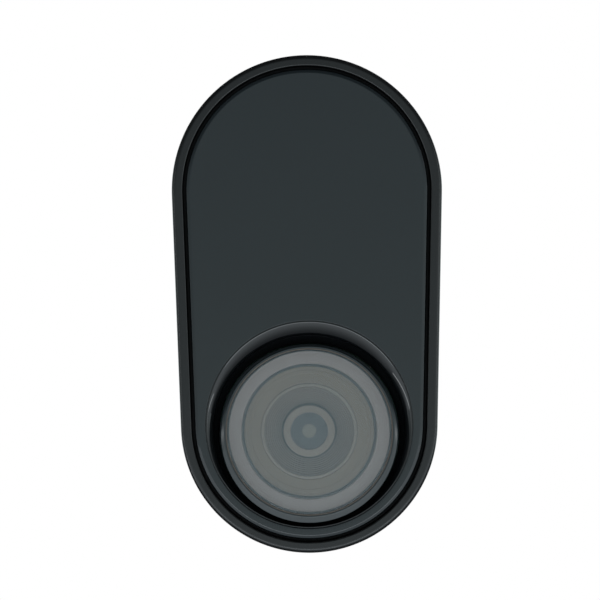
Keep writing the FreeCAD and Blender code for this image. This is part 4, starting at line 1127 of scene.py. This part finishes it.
@dataclass(frozen=True)
class Camera:
    """Camera turret: rings, infrared window, stepped hood, barrel and lens, and the lamps."""

    turret: float = 14.88
    top: float = 23.1
    base: float = 12.6
    base_bore: float = 9.0
    flange: float = 17.93
    flange_thick: float = 1.0
    step: float = 0.6
    shelf: tuple[float, float] = (16.4, 17.4)
    halo_seat: float = 18.2
    board_seat: float = 18.4
    ledge: float = 0.7
    lip: float = 14.53
    bore: float = 13.33
    window_seat: float = 22.0
    window_top: float = 23.0
    slip: float = 0.05
    bead: tuple[float, float] = (12.9, 13.75)
    bead_draft: float = 0.15
    bead_rise: float = 0.07
    trim_back: float = 21.0
    trim_proud: float = 0.1
    trim_radius: float = 10.7
    hood_radius: float = 10.0
    hood_mouth: float = 9.6
    hood_throat: float = 6.2
    hood_seat: float = 19.4
    hood_top: float = 22.4
    throat_depth: float = 20.0
    barrel: float = 5.75
    barrel_top: float = 21.6
    retainer_top: float = 22.2
    lens: float = 4.15
    lens_gap: float = 0.03
    notch: tuple[float, float, float] = (4.0, 6.2, 0.4)
    notch_depth: float = 0.3
    lens_back: float = 21.0
    lens_crown: float = 22.5
    lens_steps: int = 12
    pupil: float = 1.56
    pupil_back: float = 20.72
    pupil_falls: tuple[float, float, float] = (0.08, 0.1, 0.18)
    hood_steps: int = 8
    riser_draft: float = 0.12

    def build(self) -> None:
        """Make the turret and what it carries."""
        self.make_turret()
        self.make_hood()
        self.make_lens()
        self.make_lamps()

    def make_turret(self) -> None:
        """Turret tube with its lip, and the infrared window inside the lip."""
        flange_top = self.base + self.flange_thick
        waist = self.turret - self.step
        shelf_back, shelf_top = self.shelf
        tube = turned("turret_tube", [
            (self.base_bore, self.base), (self.flange, self.base, 0.1),
            (self.flange, flange_top, 0.1), (waist, flange_top), (waist, shelf_back),
            (self.turret + self.step, shelf_back), (self.turret + self.step, shelf_top),
            (waist, shelf_top), (waist, self.halo_seat), (self.turret, self.halo_seat),
            (self.turret, self.top, 0.12), (self.lip, self.top, 0.08),
            (self.lip, self.window_seat), (self.bore, self.window_seat),
            (self.bore, self.board_seat), (self.bore - self.ledge, self.board_seat),
            (self.bore - self.ledge, flange_top), (self.base_bore, flange_top)])
        FINISHER.settle(tube, "inner_plastic", "camera_turret")
        low = self.window_top - self.bead_rise
        bore, rim = self.trim_radius + self.slip, self.lip - self.slip
        inner, outer = self.bead
        window = turned("infrared_filter", [
            (bore, self.window_seat), (bore, low, 0.15), (inner, low, 0.05),
            (inner + self.bead_draft, self.window_top, 0.05),
            (outer - self.bead_draft, self.window_top, 0.05), (outer, low, 0.05),
            (rim, low, 0.12), (rim, self.window_seat)])
        FINISHER.settle(window, "olive_filter", "infrared_window")

    def make_hood(self) -> None:
        """Trim ring and the hood's stepped cone."""
        top = self.window_top + self.trim_proud
        trim = turned("lens_trim_ring", [
            (self.hood_radius, self.trim_back), (self.hood_radius, top, 0.2),
            (self.trim_radius, top, 0.2), (self.trim_radius, self.trim_back)])
        FINISHER.settle(trim, "trim_pale", "lens_trim")
        fall = (self.hood_top - self.throat_depth) / self.hood_steps
        draw = (self.hood_mouth - self.hood_throat) / self.hood_steps
        cone: list[tuple[float, ...]] = []
        for i in range(self.hood_steps):
            radius, depth = self.hood_mouth - draw * i, self.hood_top - fall * i
            cone += [(radius, depth, 0.05),
                     (radius - self.riser_draft * draw, depth - fall, 0.05)]
        hood = turned("hood_cone", [
            (self.hood_throat, self.hood_seat), (self.hood_radius, self.hood_seat),
            (self.hood_radius, self.hood_top, 0.1), *cone, (self.hood_throat, self.throat_depth)],
            steps=2)
        FINISHER.settle(hood, "hood_grey", "lens_hood")

    def make_lens(self) -> None:
        """Retainer with its two key slots, the domed front lens and the pupil behind it, pale to
        paint the reflection at the lens's centre.
        """
        bore = self.lens + self.lens_gap
        retainer = turned("lens_retainer_ring", [
            (bore, self.barrel_top), (bore, self.retainer_top, 0.1),
            (self.barrel, self.retainer_top, 0.2), (self.barrel, self.barrel_top)])
        near, far, half = self.notch
        for side in (-1, 1):
            notch = block("notch", (side * near, self.retainer_top - self.notch_depth,
                                    LENS_HEIGHT - half),
                          (side * far, self.retainer_top + 1, LENS_HEIGHT + half))
            carve(retainer, Carve.CUT, notch)
        FINISHER.settle(retainer, "trim_pale", "lens_retainer", weighted=True)
        rise = self.lens_crown - self.retainer_top
        sphere = (self.lens ** 2 + rise ** 2) / (2 * rise)
        centre = self.lens_crown - sphere
        face = [(r, centre + math.sqrt(sphere ** 2 - r ** 2))
                for r in (self.lens * k / self.lens_steps
                          for k in range(self.lens_steps))]
        lens = turned("front_lens_glass", [
            *face, (self.lens, self.retainer_top, 0.1), (self.lens, self.lens_back, 0.1),
            (0, self.lens_back)], count=96)
        FINISHER.settle(lens, "coated_glass", "front_lens")
        middle, bend, edge = self.pupil_falls
        pupil = turned("lens_pupil", [
            (0, self.lens_back - middle), (self.pupil * 0.6, self.lens_back - bend),
            (self.pupil, self.lens_back - edge, 0.03), (self.pupil, self.pupil_back),
            (0, self.pupil_back)], count=64)
        # The pupil's pale lamp finish is a painted reflection: it paints the pale dot of light
        # that the lens reflects at its centre.
        FINISHER.settle(pupil, "led_body")

    def make_lamps(self) -> None:
        """Rings of small lamps: the halo's and the infrared ones."""
        for name, node, count, radius, size, back in (
                ("halo_lamps", "halo_leds", 12, 15.905, (1.6, 0.6, 0.8), 18.2),
                ("infrared_lamps", "infrared_leds", 8, 11.98, (1.8, 1.0, 1.8), 19.3)):
            wide, high, tall = size
            lamp = block(name, (-wide / 2, back, -tall / 2),
                         (wide / 2, back + high, tall / 2), 0.12)
            grow(lamp, "ring_of_copies", {"Count": count, "Radius": radius * MM,
                                          "Height": LENS_HEIGHT * MM})
            FINISHER.settle(lamp, "led_body", node)


@dataclass(frozen=True)
class SideKey:
    """Key in the right-hand wall."""

    height: float = 5.7
    depth: float = 15.6
    width: float = 3.2
    length: float = 9.5
    proud: float = 0.2
    stem_end: float = -2.9
    flange: float = 0.8
    flange_span: tuple[float, float] = (-3.55, -2.55)

    def build(self) -> None:
        """Make the key with its softened cap and the flange that keeps it in."""
        wide, tall = self.width / 2, self.length / 2
        inner, outer = self.flange_span
        stem = block("side_key_cap", (self.stem_end, -wide, -tall), (self.proud, wide, tall),
                     0.35, 5)
        flange = block("flange", (inner, -wide - self.flange, -tall - self.flange),
                       (outer, wide + self.flange, tall + self.flange), 0.15)
        carve(stem, Carve.JOIN, flange)
        side = OUTLINE.half_width(self.height)
        stem.data.transform(Matrix.Translation(Vector((side, -self.depth, self.height)) * MM)
                            @ Matrix.Rotation(OUTLINE.lean, 4, "Y"))
        FINISHER.settle(stem, "key_plastic", "side_key", body=Body.SIDE_KEY, weighted=True)


@dataclass(frozen=True)
class Bracket:
    """Wall bracket with its stiffening ribs, the wall gasket and the back's screws."""

    inset: float = 3.0
    rim: float = 1.6
    height: float = 3.6
    plate: float = 2.0
    boss: float = 5.5
    hole: float = 2.3
    countersink: float = 4.4
    spacing: float = 64.0
    lap: float = 0.6
    boss_drop: float = 0.1
    mouth: tuple[float, float] = (1.2, 0.25)
    over: float = 0.5
    through: tuple[float, float] = (-1.0, 9.0)
    window: tuple[float, float, float] = (25.0, 20.0, 15.0)
    hook_x: float = 10.0
    hook_window: tuple[float, float, float] = (4.8, 4.0, 38.9)
    ribs: tuple[float, float, float, float] = (23.0, 44.0, 0.5, 0.7)
    root: float = 0.3
    rib_count: int = 9
    spine_count: int = 4
    rib_pitch: float = 9.0
    lock_half_width: float = 4.5
    lock_depth: float = 5.0
    lock_span: tuple[float, float] = (0.4, 6.6)
    seal: tuple[float, float, float] = (0.9, 2.1, 0.8)

    def build(self) -> None:
        """Make the bracket, the gasket, the terminal screws and the locking screw."""
        self.make_bracket()
        outer, inner, thick = self.seal
        gasket = OUTLINE.ring("wall_seal", [
            (outer, 0, 0.1), (outer, thick, 0.2), (inner, thick, 0.2), (inner, 0, 0.1)])
        FINISHER.settle(gasket, "black_rubber", "wall_gasket")
        self.make_terminal_screws()
        self.make_lock_screw()

    def make_bracket(self) -> None:
        """Ribbed plate with a rim, screw bosses, a cable window and hook windows."""
        back = self.height - self.plate
        plate = OUTLINE.plate("bracket_plate", self.inset + self.lap, back, self.height, 0.1)
        wide, tall, half, front = self.ribs
        ribs = block("rib", (-wide, front, -half), (wide, back + self.root, half), 0.15)
        grow(ribs, "row_of_copies", {"Count": self.rib_count,
                                     "Pitch": (0.0, 0.0, self.rib_pitch * MM)})
        spines = block("spine", (-half, front, -tall), (half, back + self.root, tall), 0.15)
        grow(spines, "row_of_copies", {"Count": self.spine_count,
                                       "Pitch": (self.rib_pitch * MM, 0.0, 0.0)})
        rim = OUTLINE.ring("bracket_rim", [
            (self.inset, 0, 0.25), (self.inset, self.height, 0.2),
            (self.inset + self.rim, self.height, 0.1), (self.inset + self.rim, 0, 0.25)])
        carve(plate, Carve.JOIN, rim, ribs, spines)
        low, high = (OUTLINE.bottom + self.inset + reach for reach in self.lock_span)
        lock = block("lock", (-self.lock_half_width, 0, low),
                     (self.lock_half_width, self.lock_depth, high), 0.2)
        carve(plate, Carve.JOIN, lock)
        for way in (-1, 1):
            z = way * self.spacing / 2
            carve(plate, Carve.JOIN, turned("boss", [
                (0, 0), (self.boss, 0, 0.25), (self.boss, self.height - self.boss_drop),
                (0, self.height - self.boss_drop)], z, count=96))
            flare = self.countersink - self.hole
            mouth, mouth_depth = self.mouth
            carve(plate, Carve.CUT, turned("hole", [
                (0, -1), (self.hole + mouth, -1), (self.hole, mouth_depth),
                (self.hole, self.height - flare),
                (self.countersink + self.over, self.height + self.over),
                (0, self.height + self.over)], z, count=96))
        near, far = self.through
        wide, tall, middle = self.window
        carve(plate, Carve.CUT, block("window", (-wide / 2, near, middle - tall / 2),
                                      (wide / 2, far, middle + tall / 2), 0.8, 4))
        wide, tall, middle = self.hook_window
        for side in (-1, 1):
            x = side * self.hook_x
            carve(plate, Carve.CUT, block("window", (x - wide / 2, near, middle - tall / 2),
                                          (x + wide / 2, far, middle + tall / 2)))
        FINISHER.settle(plate, "bracket_plastic", "wall_bracket", weighted=True)

    def make_terminal_screws(self) -> None:
        """Two cross-head screws with washers on the back wall."""
        head, top, seat = 2.7, 3.5, 4.7
        washer, washer_back, shank, end = 3.2, 5.2, 1.4, 8.5
        screw = turned("terminal_screw_pair", [
            (0, top), (head * 0.6, top + 0.03), (head, top + 0.35, 0.3), (head, seat),
            (washer, seat, 0.08), (washer, washer_back, 0.08), (shank, washer_back),
            (shank, end, 0.2), (0, end)], TERMINAL_Z, count=64)
        for wide, tall in ((3.4, 0.75), (0.75, 3.4)):
            carve(screw, Carve.CUT, block("drive", (-wide / 2, top - 1, TERMINAL_Z - tall / 2),
                                          (wide / 2, top + 0.7, TERMINAL_Z + tall / 2), 0.08, 2))
        grow(screw, "row_of_copies", {"Count": 2, "Pitch": (2 * TERMINAL_X * MM, 0.0, 0.0)})
        FINISHER.settle(screw, "nickel_steel", "terminal_screws", weighted=True)

    def make_lock_screw(self) -> None:
        """Locking screw that goes up through the wall's lower edge."""
        head, shank, tall, end = 2.05, 1.1, 1.3, 8.2
        screw = turned("locking_screw", [
            (0, 0), (head, 0, 0.15), (head, tall), (shank, tall), (shank, end, 0.3), (0, end)],
            0.0, count=64)
        key, mouth, deep, recess = 0.9, 1.1, 0.8, 0.12
        socket = turned("socket", [
            (0, -1), (mouth, -1), (key, 0.05), (key, deep), (0, 1.0)], 0.0, count=6)
        carve(screw, Carve.CUT, socket)
        screw.data.transform(Matrix.Translation(Vector((0, -Shell.lock_depth,
                                                    OUTLINE.bottom + recess)) * MM)
                             @ Matrix.Rotation(-math.pi / 2, 4, "X"))
        FINISHER.settle(screw, "blackened_steel", "security_screw", weighted=True)


# ---- studio ---------------------------------------------------------------------------------
@dataclass(frozen=True)
class Softbox:
    """Soft rectangular light; place and size in metres."""

    name: str
    place: tuple[float, float, float]
    size: tuple[float, float]
    glow: float
    colour: Colour

    def build(self, target: Vector) -> None:
        """Make the light, aimed at the target."""
        lamp = bpy.data.lights.new(self.name, "AREA")
        lamp.shape = "RECTANGLE"
        lamp.size, lamp.size_y = self.size
        lamp.energy = self.glow * math.pi * self.size[0] * self.size[1]
        lamp.color = self.colour
        holder = place_object(self.name, lamp)
        holder.location = self.place
        holder.rotation_euler = (target - Vector(self.place)).to_track_quat("-Z", "Y").to_euler()


@dataclass(frozen=True)
class Studio:
    """Pale surround that is dark above and bright below, soft lights, floor and camera."""

    floor_drop: float = 0.62
    floor_radius: float = 3.0
    floor_glow: float = 1.35
    floor_fade: tuple[float, float] = (0.12, 0.8)
    floor_paleness: float = 0.55
    distance: float = 0.62
    view_height: float = 0.133
    aim: tuple[float, float] = (-0.00177, 0.0009)
    roll: float = 0.585
    sky: tuple[tuple[float, Colour], ...] = (
        (0.0, (0.72, 0.78, 0.82)), (0.43, (0.52, 0.6, 0.62)), (0.5, (0.37, 0.43, 0.44)),
        (0.56, (0.28, 0.325, 0.34)), (0.68, (0.1, 0.11, 0.115)), (1.0, (0.03, 0.032, 0.035)))
    sky_glow: float = 1.7
    sky_tilt: float = 0.25
    target: tuple[float, float, float] = (0.0, -0.02, -0.01)
    boxes: tuple[Softbox, ...] = (
        Softbox("low_front_box", (0.0, -0.95, -0.5), (1.2, 0.1), 4.0, (0.88, 0.95, 1.0)),
        Softbox("left_box", (-0.8, -0.42, -0.15), (0.05, 0.8), 4.5, (0.95, 0.98, 1.0)),
        Softbox("right_box", (0.8, -0.42, 0.0), (0.05, 0.7), 4.5, (0.95, 0.98, 1.0)))

    def build(self) -> None:
        """Make the surround, the lights, the floor and the camera."""
        scene = bpy.context.scene
        scene.view_settings.view_transform = "Standard"
        self.make_world(scene)
        self.make_floor()
        for box in self.boxes:
            box.build(Vector(self.target))
        lens = bpy.data.cameras.new("studio_camera")
        front = Shell.depth * MM
        lens.sensor_width = 36.0
        lens.lens = lens.sensor_width * self.distance / self.view_height
        lens.clip_start, lens.clip_end = 0.01, 50.0
        camera = place_object("studio_camera", lens)
        camera.location = (self.aim[0], -front - self.distance, self.aim[1])
        camera.rotation_euler = (math.pi / 2, math.radians(self.roll), 0)
        scene.camera = camera

    def make_world(self, scene: bpy.types.Scene) -> None:
        """White seen directly; as light, dark overhead and pale towards the floor."""
        world = bpy.data.worlds.new("studio_surround")
        world.use_nodes = True
        scene.world = world
        g = Graph(world.node_tree)
        g.tree.nodes.clear()
        way = g.add("ShaderNodeTexCoord").outputs["Generated"]
        x, _, z = g.add("ShaderNodeSeparateXYZ", {0: way}).outputs
        rise = g.math("MULTIPLY_ADD", z, 0.5, 0.5)
        ramp = g.add("ShaderNodeValToRGB", {"Fac": rise})
        while len(ramp.color_ramp.elements) < len(self.sky):
            ramp.color_ramp.elements.new(0.5)
        for stop, (place, colour) in zip(ramp.color_ramp.elements, self.sky):
            stop.position, stop.color = place, (*colour, 1)
        tilt = g.math("MULTIPLY_ADD", x, self.sky_tilt, 1.0)
        glow = g.add("ShaderNodeBackground", {"Color": ramp.outputs[0],
                                              "Strength": g.math("MULTIPLY", tilt, self.sky_glow)})
        white = g.add("ShaderNodeBackground", {"Color": (1, 1, 1, 1), "Strength": 1.0})
        seen = g.add("ShaderNodeLightPath").outputs["Is Camera Ray"]
        both = g.add("ShaderNodeMixShader", {0: seen, 1: glow.outputs[0], 2: white.outputs[0]})
        g.add("ShaderNodeOutputWorld", {"Surface": both.outputs[0]})

    def make_floor(self) -> None:
        """Round pale floor well below the wall unit."""
        bm = bmesh.new()
        bmesh.ops.create_circle(bm, cap_ends=True, segments=96, radius=self.floor_radius)
        for vert in bm.verts:
            vert.co.z = -self.floor_drop
        mesh = bpy.data.meshes.new("studio_floor")
        bm.to_mesh(mesh)
        bm.free()
        floor = place_object("studio_floor", mesh)
        material, g, shader = start_material("pale_floor")
        base = Effects.use(g, "clouding", colour=(0.82, 0.84, 0.86, 1), spread=0.01, scale=2.0)
        place = g.add("ShaderNodeTexCoord").outputs["Object"]
        ahead = g.math("MULTIPLY", g.add("ShaderNodeSeparateXYZ", {0: place}).outputs[1], -1.0)
        near, far = self.floor_fade
        fade = g.add("ShaderNodeMapRange", {"Value": ahead, "From Min": near, "From Max": far,
                                            "To Min": 0.0, "To Max": self.floor_glow},
                     interpolation_type="SMOOTHSTEP").outputs[0]
        seen = g.add("ShaderNodeLightPath").outputs["Is Camera Ray"]
        glow = g.math("MULTIPLY_ADD", seen, self.floor_paleness, fade)
        g.fill(shader, {"Base Color": base, "Emission Strength": glow, "Roughness": 0.8,
                        "Emission Color": (0.86, 0.95, 1.0, 1)})
        mesh.materials.append(material)


def main() -> None:
    """Build the studio and every sub-assembly, and log each piece."""
    logging.basicConfig(level=logging.INFO, format="%(name)s: %(message)s")
    Studio().build()
    for part in (Shell(), Front(), Dish(), BellPush(), Camera(), SideKey(), Bracket()):
        part.build()
        log.info("%s built", type(part).__name__)
    FINISHER.dress_solids()


if __name__ == "__main__":
    main()
